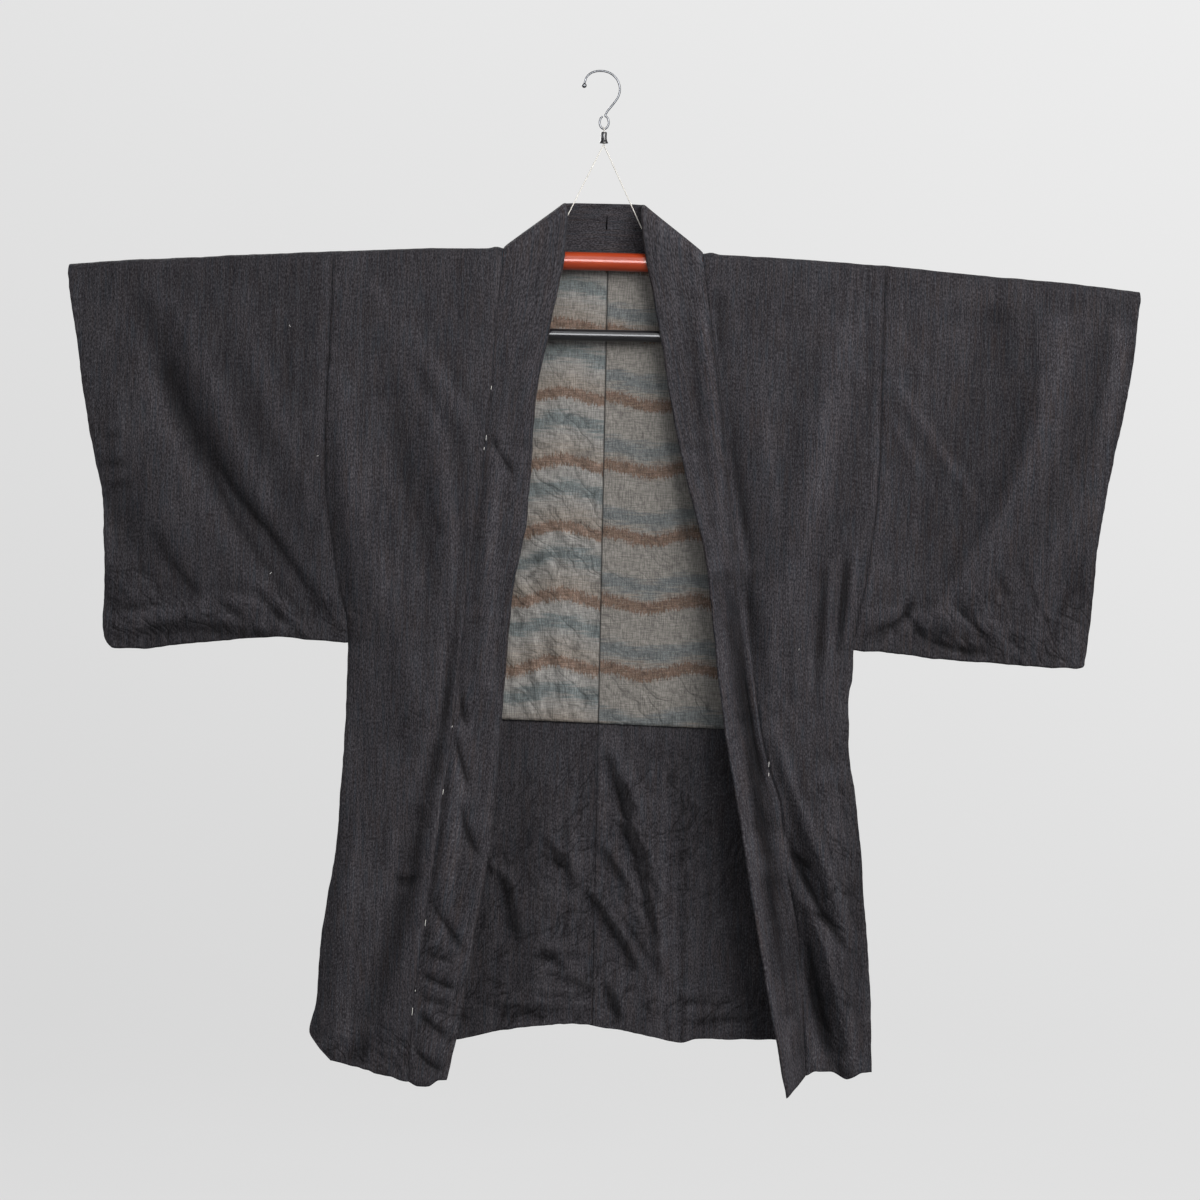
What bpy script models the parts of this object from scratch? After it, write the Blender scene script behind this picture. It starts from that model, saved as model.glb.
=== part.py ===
"""A man's haori jacket hung on its kimono hanger, each cut piece a separate closed solid.

Metres, +Z up. The front of the jacket faces -Y, so the wearer's right side lies at -X and
the wearer's left side at +X. The origin is the inside of the hook's top, where a peg bears.

The tables below are in millimetres. x runs along the shoulders, y from front to back, and
depth runs down from the top of the hook's wire. "Out" is a distance away from the neck's centre.
"""

import math
from collections import namedtuple

import bpy
import numpy as np

# ---- driving dimensions, in millimetres -------------------------------------------------
MM = 0.001
CLOTH = 1.6  # wall of the lined jacket cloth
LINING_CLOTH = 1.2
COLLAR_CLOTH = 3.0  # the collar is one band folded over on itself
SEAM_GAP = 0.3
LINING_GAP = 0.5
LINING_DROP = 1.5  # the lining's upper edge hangs this far under the collar's seam
CORNER_EASE = 1.0  # more room for the collar where it turns over the shoulder
GUSSET_CLEAR = (0.1, 0.9)  # more room for the gusset along its whole length, and at the hem
GUSSET_TUCK = 9.0  # how far the gusset's middle is folded inward at the hem

NECK_CENTRE = 6.0  # x of the middle of the neck, a little off the hanger's middle
BACK_SEAM = 12.0  # x of the centre back seam
NECK_OUT = 119.0  # out from the neck's centre to where the collar crosses the shoulder
FOLD_REACH = 16.5  # from the bar's axis to the cloth's outer face, front and back
FOLD_RISE = 13.0  # from the bar's axis up to the cloth's outer face

HANGER_CENTRE = 4.0
BAR_RADIUS = 11.0
BAR_STEP = 38.0  # the bar bends a little at each step of this length
TUBE_STEPS = 6  # steps from the middle to each end of the tube
ROD_START_STEP = 4
ROD_END_STEP = 15
TUBE_WALL = 2.2
ROD_RADIUS = 7.9
CAP_LENGTH = 16.0
CAP_RADIUS = 10.3
LOWER_BAR_RADIUS = 7.0
LOWER_BAR_DEPTH = 318.5
LOWER_BAR_REACH = 185.0
LINK_OUT = 165.0
LINK_RADIUS = 2.6
HOOK_WIRE = 2.5
EYE_DEPTH = 62.9
EYE_HALF_WIDTH = 5.4
EYE_HALF_HEIGHT = 7.8
TIP_RADIUS = 2.9
STRING = 1.3
STRING_OUT = 62.0
STRING_ROOM = 1.35  # inside the bead, beside the string's two legs
BEAD_TOP = 74.5

# ---- outlines: rows of (x, depth) or (depth, x) -------------------------------------------
TOP_LINE = ((-650, 248), (-592, 242), (-472, 234), (-328, 225), (-136, 217), (0, 217.2),
            (128, 218.5), (344, 228), (465, 237.5), (585, 246), (655, 254))
NECK_LINE = ((0, 224), (60, 224.3), (90, 226), (NECK_OUT, 230))  # (out, depth), at the back
BACK_HEM = ((-330, 1157), (-240, 1162), (-152, 1169), (-98, 1157), (-8, 1148), (28, 1152),
            (82, 1161), (118, 1168), (140, 1163), (208, 1163), (350, 1160))
FRONT_HEM = ((-297, 1193), (-277, 1196), (-259, 1200), (-241, 1207), (-223, 1211), (-204, 1214),
             (266, 1198), (281, 1192), (299, 1194), (317, 1201), (335, 1194), (349, 1192))
LINING_HEM = ((-330, 781), (-105, 782), (161, 788), (350, 790))

Side = namedtuple("Side", "name sign outer_edge cuff sleeve_hem collar_seam collar_fold "
                          "collar_tilt collar_end collar_lift cuff_opening sleeve_end")
RIGHT = Side(
    name="right",
    sign=-1,
    outer_edge=((225, -316), (463, -322), (600, -307), (693, -290), (792, -291), (882, -295),
                (942, -299), (1003, -308), (1063, -315), (1123, -318), (1157, -325),
                (1177, -313), (1194, -296)),
    cuff=((247, -635), (289, -629), (349, -619), (409, -610), (469, -599), (528, -587),
          (558, -585), (618, -584), (678, -585), (703, -580)),
    sleeve_hem=((-584, 690), (-580, 699), (-572, 706), (-540, 706), (-486, 699), (-432, 693),
                (-360, 688), (-342, 691), (-290, 693)),
    collar_seam=((230, -113), (295, -119), (385, -124), (480, -133), (651, -149), (791, -162),
                 (904, -175), (1025, -189), (1134, -202), (1220, -205)),
    collar_fold=((172, -38), (219, -40), (311, -56), (398, -71), (541, -79), (638, -95),
                 (782, -104), (924, -114), (1043, -132), (1163, -150), (1215, -161)),
    collar_tilt=((230, 172), (245, 200), (270, 238), (300, 280), (350, 338), (420, 416),
                 (500, 500), (1100, 1100), (1216, 1212)),
    collar_end=((0, 0), (0.25, 6), (0.5, 7), (0.8, 0), (1, 0)),
    collar_lift=((230, 0), (420, 3), (700, 2), (1000, 4), (1216, 7)),
    cuff_opening=583,
    sleeve_end=693)
LEFT = Side(
    name="left",
    sign=1,
    outer_edge=((228, 344), (486, 341), (602, 329), (690, 316), (720, 316), (750, 311),
                (810, 313), (870, 322), (929, 329), (989, 334), (1049, 340), (1109, 344),
                (1200, 347)),
    cuff=((254, 651), (292, 647), (323, 644), (383, 636), (443, 624), (503, 613), (563, 605),
          (623, 601), (653, 599), (700, 594)),
    sleeve_hem=((316, 691), (342, 691), (414, 698), (486, 702), (558, 706), (580, 706),
                (592, 700), (596, 690)),
    collar_seam=((230, 126), (304, 137), (362, 147), (416, 155), (468, 160), (636, 183),
                 (689, 191), (787, 206), (834, 217), (877, 231), (947, 239), (1039, 257),
                 (1133, 263), (1200, 268)),
    collar_fold=((172, 50), (211, 55), (241, 61), (312, 76), (417, 95), (498, 114), (586, 137),
                 (697, 151), (789, 163), (889, 182), (963, 195), (1097, 220), (1223, 245)),
    collar_tilt=((230, 172), (245, 200), (270, 238), (300, 280), (350, 338), (420, 416),
                 (500, 500), (1000, 1003), (1197, 1223)),
    collar_end=((0, 0), (0.4, 0), (0.7, -1), (1, 0)),
    collar_lift=((230, 0), (480, 5), (640, 12), (800, 22), (1050, 24), (1197, 18)),
    cuff_opening=583,
    sleeve_end=691)
SIDES = (RIGHT, LEFT)

# ---- how far the cloth stands from the middle plane: rows of (depth or share, distance) ----
FRONT_REACH = ((230, FOLD_REACH), (320, 17), (700, 24), (950, 30), (1220, 34))
BACK_REACH = ((230, FOLD_REACH), (320, 17.5), (700, 20), (1170, 26))
SLEEVE_REACH = ((0, FOLD_REACH), (0.12, 17), (0.5, 15.5), (0.8, 10.5), (1, 3))  # share down
GUSSET_REACH = ((690, 3), (760, 9), (900, 17), (1200, 27))
EDGE_BLEND = 120.0  # how far inward the closed side edge is felt
SEWN_REACH = 2.1  # outer face to middle where front and back are sewn together
CUFF_BLEND = 30.0  # depth over which the open cuff closes into its sewn part
COLLAR_BLEND = 60.0  # depth over which the collar leaves its turn, and is drawn into its foot
FIRST_DEPTH = 300.0  # where the search for a panel's grid begins

# ---- the largest folds: a bent line of three points, its half width and its height --------
# x0, depth0, x1, depth1, x2, depth2, width, height. A height above 0 stands away from the body.
Fold = namedtuple("Fold", "x0 depth0 x1 depth1 x2 depth2 width height")
FRONT_FOLDS = (
    Fold(-545, 290, -465, 480, -330, 660, 26, -7),  # right sleeve, the broad slanting trough
    Fold(-545, 400, -490, 560, -370, 660, 26, 5),
    Fold(-430, 330, -390, 480, -330, 600, 30, 4),
    Fold(-305, 360, -240, 590, -195, 760, 34, 7),  # right front
    Fold(-190, 440, -140, 690, -160, 860, 24, -5),
    Fold(-215, 900, -215, 1050, -262, 1190, 22, -5),
    Fold(-280, 900, -285, 1050, -290, 1190, 24, 4),
    Fold(556, 290, 545, 480, 425, 650, 34, 7),  # left sleeve
    Fold(400, 440, 385, 540, 350, 640, 26, -5),
    Fold(335, 290, 325, 430, 255, 640, 34, 8),  # left front
    Fold(178, 500, 195, 720, 240, 930, 16, -10),
    Fold(240, 930, 262, 1060, 300, 1200, 18, -12),
    Fold(238, 600, 262, 860, 320, 1080, 24, 8),
    Fold(306, 590, 312, 640, 308, 690, 10, -6),
)
BACK_FOLDS = (
    Fold(60, 820, 95, 950, 110, 1160, 26, 5),
    Fold(-60, 850, -70, 980, -75, 1160, 30, -4),
    Fold(-200, 320, -190, 700, -230, 1150, 45, 6),
    Fold(230, 330, 215, 700, 250, 1150, 45, 6),
    Fold(-480, 300, -470, 480, -400, 640, 34, 5),
    Fold(490, 300, 480, 480, 420, 640, 34, 5),
)
BOTH_FOLDS = (
    Fold(-570, 672, -480, 660, -350, 676, 14, 4),
    Fold(430, 640, 470, 668, 520, 694, 13, 4),
    Fold(-585, 500, -560, 580, -500, 640, 24, -4),
    Fold(600, 480, 570, 560, 520, 620, 26, 4),
)
FOLD_FADE = 45.0  # folds grow from nothing over this depth below the shoulder
SEAM_FLAT = 7.0  # a seam holds the cloth flat over this width
SEAM_HOLD = 22.0  # and lets the folds grow over this one

# ---- the collar's turn round the neck -----------------------------------------------------
# The place of its folded edge. turn is 0 at the centre back, 1 where the band starts over the
# shoulder and 2 where it has come to the front.
TurnRow = namedtuple("TurnRow", "turn out y depth")
FOLD_TURN = (
    TurnRow(0, 0, 11, 160),
    TurnRow(0.28, 17, 11.5, 160),
    TurnRow(0.57, 31, 11.5, 160),
    TurnRow(0.8, 40, 10, 160.4),
    TurnRow(1, 44.5, 7, 161),
    TurnRow(1.33, 46.5, 1, 162.3),
    TurnRow(1.5, 46.5, -4, 163.5),
    TurnRow(1.67, 46, -9.5, 165.5),
    TurnRow(2, 44, -15, 172),
)

# ---- how finely each piece is divided ------------------------------------------------------
FOLD_STEPS = 6
NECK_COLUMNS = 5
BODY_SHARES = np.array([0, 0.03, 0.17, 0.31, 0.45, 0.59, 0.73, 0.87, 0.97, 1])
LINING_COLUMNS = 6  # of the body's columns, so the lining stops short of the closed side
SLEEVE_SHARES = np.concatenate([[0, 0.02], np.linspace(0.1, 1, 11)])
ARMHOLE_ROWS = 14
LINED_ROWS = 3  # from the armhole's foot to the lining's hem
UNLINED_ROWS = 11
COLLAR_SHARES = np.array([0, 0.08, 0.4, 0.7, 1])
GUSSET_SHARES = np.array([0, 0.08, 0.5, 0.92, 1])
BACK_STEPS = ARMHOLE_ROWS + LINED_ROWS + UNLINED_ROWS


# ---- reading the tables --------------------------------------------------------------------
def ease(share):
    """0 to 1 with a flat start and a flat end."""
    share = np.clip(share, 0, 1)
    return share * share * (3 - 2 * share)


def mix(start, end, share):
    return start + (end - start) * share


def hermite(keys, values, slopes, at):
    """The cubic that passes through every (key, value) with the given slope there."""
    at = np.clip(at, keys[0], keys[-1])
    place = np.clip(np.searchsorted(keys, at, side="right") - 1, 0, len(keys) - 2)
    step = keys[place + 1] - keys[place]
    t = (at - keys[place]) / step
    rise = values[place + 1] - values[place]
    straight = values[place] + rise * t * t * (3 - 2 * t)
    bend = slopes[place] * (1 - t) - slopes[place + 1] * t
    return straight + step * t * (1 - t) * bend


def read(table, at):
    """A table of two columns as a smooth curve that never swings past its own rows."""
    keys, values = np.array(table, float).T
    rises = np.diff(values) / np.diff(keys)
    product = rises[:-1] * rises[1:]
    total = np.where(product > 0, rises[:-1] + rises[1:], 1)
    inner = np.where(product > 0, 2 * product / total, 0)
    slopes = np.concatenate([rises[:1], inner, rises[-1:]])
    return hermite(keys, values, slopes, np.asarray(at, float))


def curve_through(points, count):
    """`count` points evenly along a smooth curve through the given ones."""
    points = np.array(points, float)
    lengths = np.linalg.norm(np.diff(points, axis=0), axis=1)
    keys = np.concatenate([[0], np.cumsum(lengths)])
    at = np.linspace(0, keys[-1], count)
    slopes = np.gradient(points, keys, axis=0)
    return np.stack([hermite(keys, points[:, k], slopes[:, k], at) for k in range(3)], axis=1)


def place(x, y, depth):
    """Points in metres, from x, y and depth in millimetres."""
    x, y, depth = np.broadcast_arrays(x, y, depth)
    return np.stack([x, y, HOOK_WIRE - depth], axis=-1) * MM


# ---- the shape of the hanging cloth ----------------------------------------------------------
def relief(folds, x, depth):
    """The sum of the folds at each point: each falls away from its bent line as a bell curve,
    and dies out towards both ends of that line."""
    total = np.zeros(np.broadcast(x, depth).shape)
    for fold in folds:
        t = np.linspace(0, 1, 13)
        line_x = (1 - t) ** 2 * fold.x0 + 2 * t * (1 - t) * fold.x1 + t ** 2 * fold.x2
        line_depth = ((1 - t) ** 2 * fold.depth0 + 2 * t * (1 - t) * fold.depth1
                      + t ** 2 * fold.depth2)
        away = np.hypot(x[..., None] - line_x, depth[..., None] - line_depth)
        nearest = away.argmin(axis=-1)
        strength = 0.35 + 0.65 * np.sin(np.pi * t[nearest])
        total += fold.height * strength * np.exp(-(away.min(axis=-1) / fold.width) ** 2)
    return total


def soft_floor(value, low, softness=0.3):
    """The value, kept smoothly above its lowest allowed size."""
    over = value - low
    return low + 0.5 * (over + np.hypot(over, softness))


def edge_reach(side, share, depth):
    """How far the closed side edge stands from the middle: the armhole's hairpin, then the
    gusset that opens towards the hem."""
    return np.where(depth < side.sleeve_end, read(SLEEVE_REACH, share), read(GUSSET_REACH, depth))


def body_surface(side, x, depth, front):
    """y of the body's outer face at the front or the back."""
    outer = read(side.outer_edge, depth)
    start = read(TOP_LINE, outer) + FOLD_RISE
    share = (depth - start) / (side.sleeve_end - start)
    closing = ease(1 - np.abs(outer - x) / EDGE_BLEND)
    reach = mix(read(FRONT_REACH if front else BACK_REACH, depth),
                edge_reach(side, share, depth), closing)
    grown = ease((depth - start) / FOLD_FADE)
    if front:
        grown *= beside_seam(x - read(side.collar_seam, depth))
    return cloth_face(side, x, depth, reach, grown, front)


def beside_seam(distance):
    return ease((np.abs(distance) - SEAM_FLAT) / SEAM_HOLD)


def cloth_face(side, x, depth, reach, grown, front):
    """y of the outer face at a given reach, with the folds laid over it as far as they grow."""
    grown = grown * beside_seam(x - read(side.outer_edge, depth))
    middle = -relief(BOTH_FOLDS, x, depth) * grown
    own = relief(FRONT_FOLDS if front else BACK_FOLDS, x, depth) * grown
    reach = soft_floor(reach + own, SEWN_REACH)
    return middle - reach if front else middle + reach


def shoulder_turn(steps):
    """Cosine and sine of the half turn over the bar, from the back face to the front face,
    without its two ends."""
    angle = np.linspace(0, math.pi, steps + 1)[1:-1, None]
    return np.cos(angle), np.sin(angle)


def over_the_bar(x):
    """The rows of cloth that turn over the bar at the given x of each column."""
    across, up = shoulder_turn(FOLD_STEPS)
    x = np.broadcast_to(x, (len(across), np.shape(x)[-1]))
    return x, FOLD_REACH * across, read(TOP_LINE, x) + FOLD_RISE * (1 - up)


# ---- the pieces -------------------------------------------------------------------------------
def steps(counts):
    """0 to the number of stretches, with each stretch divided evenly by its own count."""
    return np.concatenate([[0]] + [k + np.arange(1, n + 1) / n for k, n in enumerate(counts)])


def between(levels, down):
    """Depth at a place along the levels: 0 is on the first level, 1 on the second, and so on."""
    depth = levels[0]
    for k, (above, below) in enumerate(zip(levels, levels[1:])):
        depth = depth + (below - above) * np.clip(down - k, 0, 1)
    return depth


def bar_start(x):
    """Depth at which the cloth leaves the bar."""
    return read(TOP_LINE, x) + FOLD_RISE


def armhole_foot(side, x):
    return read(side.sleeve_hem, x) - SEWN_REACH


def fill_panel(inner_edge, outer_edge, shares, down, levels):
    """x and depth of a panel's grid: x lies between two edges that are read by depth, and depth
    between levels that are read by x, so both are worked out in turns."""
    x = np.broadcast_to(mix(inner_edge(FIRST_DEPTH), outer_edge(FIRST_DEPTH), shares), (len(down), len(shares)))
    for _ in range(4):
        depth = between([level(x) for level in levels], down)
        x = mix(inner_edge(depth), outer_edge(depth), shares)
    return x, depth


def body_grid(side):
    """x, y and depth of a body panel, and which of its cells exist.

    Rows run from the back hem up, over the bar and down to the front hem. The first columns
    lie behind the neck and exist only on the back."""
    gap = side.sign * SEAM_GAP / 2
    neck = NECK_CENTRE + side.sign * NECK_OUT
    shares = BODY_SHARES

    def neck_edge(depth):
        return neck + 0 * np.asarray(depth)

    def outer_edge(depth):
        return read(side.outer_edge, depth) - gap

    def foot(x):
        return armhole_foot(side, x)

    def lining_hem(x):
        return read(LINING_HEM, x)

    def back_hem(x):
        return read(BACK_HEM, x)

    def front_hem(x):
        return read(FRONT_HEM, x)

    def neck_line(x):
        return read(NECK_LINE, np.abs(x - NECK_CENTRE))

    down = steps((ARMHOLE_ROWS, LINED_ROWS, UNLINED_ROWS))[::-1, None]
    behind = mix(BACK_SEAM + gap, neck, np.linspace(0, 1, NECK_COLUMNS + 1)[:-1])
    neck_x = np.broadcast_to(behind, (len(down), NECK_COLUMNS))
    neck_depth = between([level(neck_x) for level in (neck_line, foot, lining_hem, back_hem)], down)
    levels = (bar_start, foot, lining_hem, back_hem)
    x, depth = fill_panel(neck_edge, outer_edge, shares, down, levels)
    back_x = np.hstack([neck_x, x])
    back_depth = np.hstack([neck_depth, depth])
    back_y = body_surface(side, back_x, back_depth, front=False)

    down = steps((ARMHOLE_ROWS, BACK_STEPS - ARMHOLE_ROWS))[:, None]
    front_x, front_depth = fill_panel(lambda at: read(side.collar_seam, at), outer_edge, shares,
                                      down, (bar_start, foot, front_hem))
    front_y = body_surface(side, front_x, front_depth, front=True)
    turn_x, turn_y, turn_depth = over_the_bar(mix(x[-1], front_x[0], 0.5))

    def with_neck(part):
        """Fills the columns behind the neck, whose cells are left out there."""
        part = np.broadcast_to(part, (len(part), len(shares)))
        return np.hstack([np.repeat(part[:, :1], NECK_COLUMNS, axis=1), part])

    grids = (np.vstack([back_x, with_neck(turn_x), with_neck(front_x)]),
             np.vstack([back_y, with_neck(turn_y), with_neck(front_y)]),
             np.vstack([back_depth, with_neck(turn_depth), with_neck(front_depth)]))
    keep = np.ones((grids[0].shape[0] - 1, grids[0].shape[1] - 1), bool)
    keep[BACK_STEPS:, :NECK_COLUMNS] = False
    return grids, keep


def build_body(side):
    grids, keep = body_grid(side)
    return sheet(f"body_{side.name}", grids, keep, side.sign > 0, CLOTH, "jacket_cloth")


def build_lining(side):
    """The back's own points, moved in past its wall, from the neck to the lining's hem."""
    (x, y, depth), _ = body_grid(side)
    rows = slice(UNLINED_ROWS, BACK_STEPS + 1)
    columns = slice(0, NECK_COLUMNS + LINING_COLUMNS + 1)
    depth = depth[rows, columns].copy()
    depth[-1] += LINING_DROP
    grids = (x[rows, columns], y[rows, columns] - CLOTH - LINING_GAP, depth)
    return sheet(f"lining_{side.name}", grids, None, side.sign > 0, LINING_CLOTH, "lining_cloth")


def build_sleeve(side):
    """A tube of cloth folded over the bar and closed below, open at armhole and upper cuff."""
    shares = SLEEVE_SHARES
    down = steps((ARMHOLE_ROWS,))[:, None]
    x, depth = fill_panel(lambda at: read(side.outer_edge, at) + side.sign * SEAM_GAP / 2,
                          lambda at: read(side.cuff, at), shares, down,
                          (bar_start, lambda at: armhole_foot(side, at)))
    near_cuff = ease(shares * 4 - 3)  # only the last quarter of the width
    sewn = near_cuff * ease((depth - side.cuff_opening) / CUFF_BLEND + 1 / 3)
    reach = mix(read(SLEEVE_REACH, down), SEWN_REACH, sewn)
    grown = ease((depth - bar_start(x)) / FOLD_FADE)
    front_y = cloth_face(side, x, depth, reach, grown, front=True)
    back_y = cloth_face(side, x, depth, reach, grown, front=False)
    turn_x, turn_y, turn_depth = over_the_bar(x[0])
    turn_y = np.broadcast_to(turn_y, turn_x.shape)
    bottom_y = (front_y[-1:] + back_y[-1:]) / 2
    grids = (np.vstack([x[::-1], turn_x, x, x[-1:]]),
             np.vstack([back_y[::-1], turn_y, front_y, bottom_y]),
             np.vstack([depth[::-1], turn_depth, depth, depth[-1:] + SEWN_REACH]))
    return sheet(f"sleeve_{side.name}", grids, None, side.sign > 0, CLOTH, "jacket_cloth",
                 closed=True)


def collar_half(side):
    """x, y and depth of the collar's middle surface from the centre back to one front's foot.

    The sewn edge follows the body panel's own edge points at a seam's distance."""
    (body_x, body_y, body_depth), _ = body_grid(side)

    def edge(part):
        return np.concatenate([part[BACK_STEPS, :NECK_COLUMNS], part[BACK_STEPS:, NECK_COLUMNS]])

    x, y, depth = edge(body_x), edge(body_y), edge(body_depth)
    behind = NECK_COLUMNS + 1
    turned_rows = NECK_COLUMNS + FOLD_STEPS
    round_bar = np.clip(y / FOLD_REACH, -1, 1)
    on_top = 1 - np.abs(round_bar)
    seam_y = y - COLLAR_CLOTH / 2 * round_bar
    seam_depth = depth + SEAM_GAP * on_top
    seam_depth[:behind] -= SEAM_GAP
    seam_x = x.copy()
    seam_x[0] = BACK_SEAM
    seam_x[behind:] -= side.sign * SEAM_GAP
    seam_x[NECK_COLUMNS:turned_rows] -= side.sign * CORNER_EASE
    seam_depth[NECK_COLUMNS] -= CORNER_EASE

    out = x - NECK_CENTRE
    turn = np.abs(out) / NECK_OUT
    angle = np.arccos(round_bar[behind:turned_rows])
    turn[behind:turned_rows] = 1 + angle / math.pi
    turns = np.array(FOLD_TURN)
    fold_x = NECK_CENTRE + np.sign(out) * read(turns[:, [0, 1]], turn)
    fold_y = read(turns[:, [0, 2]], turn)
    fold_depth = read(turns[:, [0, 3]], turn)
    front = slice(turned_rows, None)
    fold_depth[front] = read(side.collar_tilt, depth[front])
    fold_x[front] = read(side.collar_fold, fold_depth[front])
    fold_y[front] = seam_y[front] - read(side.collar_lift, depth[front])

    shares = COLLAR_SHARES
    level = (shares - shares[1]) / (1 - shares[1])
    down_front = ease((depth - depth[turned_rows]) / COLLAR_BLEND)[:, None]
    level = mix(np.clip(level, 0, 1), ease(level), down_front)
    foot = ease((depth - depth[-1]) / COLLAR_BLEND + 1)[:, None]
    foot = foot * (np.arange(len(x)) > turned_rows)[:, None]
    return (mix(seam_x[:, None], fold_x[:, None], shares),
            mix(seam_y[:, None], fold_y[:, None], level),
            mix(seam_depth[:, None], fold_depth[:, None], shares)
            + read(side.collar_end, shares) * foot)


def build_collar():
    """One band: up the right front, round the neck and down the left front."""
    grids = [np.vstack([right[::-1], left[1:]])
             for right, left in zip(collar_half(RIGHT), collar_half(LEFT))]
    return sheet("collar", grids, None, False, COLLAR_CLOTH, "jacket_cloth", offset=0)


def build_gusset(side):
    """The narrow side panel between the edges of front and back, folded a little inward."""
    (x, y, depth), _ = body_grid(side)
    back_rows = slice(BACK_STEPS - ARMHOLE_ROWS, None, -1)
    front_rows = slice(BACK_STEPS + FOLD_STEPS + ARMHOLE_ROWS, None)
    down = np.linspace(0, 1, UNLINED_ROWS + LINED_ROWS + 1)[:, None]
    clear = CLOTH + SEAM_GAP + GUSSET_CLEAR[0] + GUSSET_CLEAR[1] * down ** 3
    bow = GUSSET_TUCK * down * np.sin(math.pi * GUSSET_SHARES) ** 2
    grids = []
    for part, nudge in ((x, 0), (y, clear), (depth, 0)):
        front = part[front_rows, -1:] + nudge
        back = part[back_rows, -1:] - nudge
        grids.append(mix(front, back, GUSSET_SHARES))
    grids[0] = grids[0] - side.sign * bow
    return sheet(f"gusset_{side.name}", grids, None, side.sign > 0, CLOTH, "jacket_cloth")


# ---- the hanger ---------------------------------------------------------------------------------
def bar_axis(out):
    """Depth of the bar's axis under the shoulder line it carries."""
    return read(TOP_LINE, HANGER_CENTRE + out) + CLOTH + SEAM_GAP + BAR_RADIUS


def bar_route(first, last):
    """The bar's axis between two of its steps, counted outward from the middle."""
    count = abs(last - first) + 1
    out = np.linspace(first, last, count) * BAR_STEP
    return place(HANGER_CENTRE + out, 0, bar_axis(out))


def build_hanger_tube():
    """The lacquered middle tube, hollow so that both arms slide out of it."""
    tube = bent_rod("hanger_tube", bar_route(-TUBE_STEPS, TUBE_STEPS), BAR_RADIUS, 4,
                    "red_lacquer", caps=False)
    wall = tube.modifiers.new("wall", "SOLIDIFY")
    wall.thickness = TUBE_WALL * MM
    wall.offset = -1
    wall.use_even_offset = True
    return tube


def build_hanger_arm(side):
    """A sliding rod and the rounded cap on its end, which carries the sleeve."""
    route = bar_route(side.sign * ROD_START_STEP, side.sign * ROD_END_STEP)
    rod = bent_rod(f"hanger_rod_{side.name}", route, ROD_RADIUS, 3, "black_plastic")
    half = CAP_LENGTH / 2
    profile = ((0, half), (6, half), (9, half - 2.2), (CAP_RADIUS, half - 6),
               (CAP_RADIUS, -half + 1), (CAP_RADIUS - 1, -half), (0, -half))
    cap = turned(f"hanger_cap_{side.name}", profile, 16, "black_plastic")
    reach = ROD_END_STEP * BAR_STEP
    run = BAR_STEP
    drop = bar_axis(side.sign * reach) - bar_axis(side.sign * (reach - run))
    slope = math.atan(drop / run)
    ahead = SEAM_GAP + half
    centre = place(HANGER_CENTRE + side.sign * (reach + ahead * math.cos(slope)), 0,
                   bar_axis(side.sign * reach) + ahead * math.sin(slope))
    cap.location = centre.tolist()
    cap.rotation_euler = (0, side.sign * (math.pi / 2 + slope), 0)
    return rod, cap


def build_lower_bar():
    route = place(HANGER_CENTRE + np.array([-1, 1]) * LOWER_BAR_REACH, 0, LOWER_BAR_DEPTH)
    return bent_rod("lower_bar", route, LOWER_BAR_RADIUS, 4, "black_plastic")


def build_bar_link(side):
    """An upright post that carries the lower bar from the tube."""
    out = side.sign * LINK_OUT
    top = bar_axis(out) + BAR_RADIUS + SEAM_GAP
    bottom = LOWER_BAR_DEPTH - LOWER_BAR_RADIUS - SEAM_GAP
    route = place(HANGER_CENTRE + out, 0, np.array([bottom, top]))
    return bent_rod(f"bar_link_{side.name}", route, LINK_RADIUS, 2, "black_plastic")


def eye_points(start, end, count):
    """Points round the hook's eye, between two angles in degrees counted from its right side."""
    angle = np.radians(np.linspace(start, end, count))
    x = HANGER_CENTRE + EYE_HALF_WIDTH * np.cos(angle)
    return np.stack([x, 0 * x, EYE_DEPTH - EYE_HALF_HEIGHT * np.sin(angle)], axis=1)


def build_hook():
    """Bent steel wire: the open hook, its stem and the eye below, with a ball on the tip."""
    bend = [(-20.4, 0, 16), (-18.6, 0, 9.6), (-13.5, 0, 4.3), (-7, 0, 1.8), (0, 0, 1.25),
            (7.5, 0, 2.6), (15, 0, 7.2), (20, 0, 14), (22, 0, 22.5), (20.5, 0, 31),
            (16, 0, 38.5), (11, 0, 45), (7, 0, 50.5)]
    route = curve_through(bend + eye_points(75, -242, 9).tolist(), 44)
    wire = bent_rod("hook_wire", place(*route.T), HOOK_WIRE / 2, 2, "steel")
    bpy.ops.mesh.primitive_uv_sphere_add(segments=12, ring_count=8, radius=TIP_RADIUS * MM)
    tip = bpy.context.active_object
    tip.name = "hook_tip"
    tip.location = place(-20.8, 0, 16 + TIP_RADIUS + SEAM_GAP).tolist()
    tip.data.shade_smooth()
    finish(tip, "steel")
    return wire, tip


def build_bead():
    """The black stop that gathers the two legs of the string under the eye."""
    hole = STRING / 2 + STRING_ROOM
    profile = ((hole, 0), (3.2, 0), (3.6, -1.2), (3.5, -8), (4.3, -11), (5.5, -13.4), (hole, -13.4))
    bead = turned("hook_bead", profile, 14, "black_plastic", ring=True)
    bead.location = place(HANGER_CENTRE, 0, BEAD_TOP).tolist()
    return bead


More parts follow.
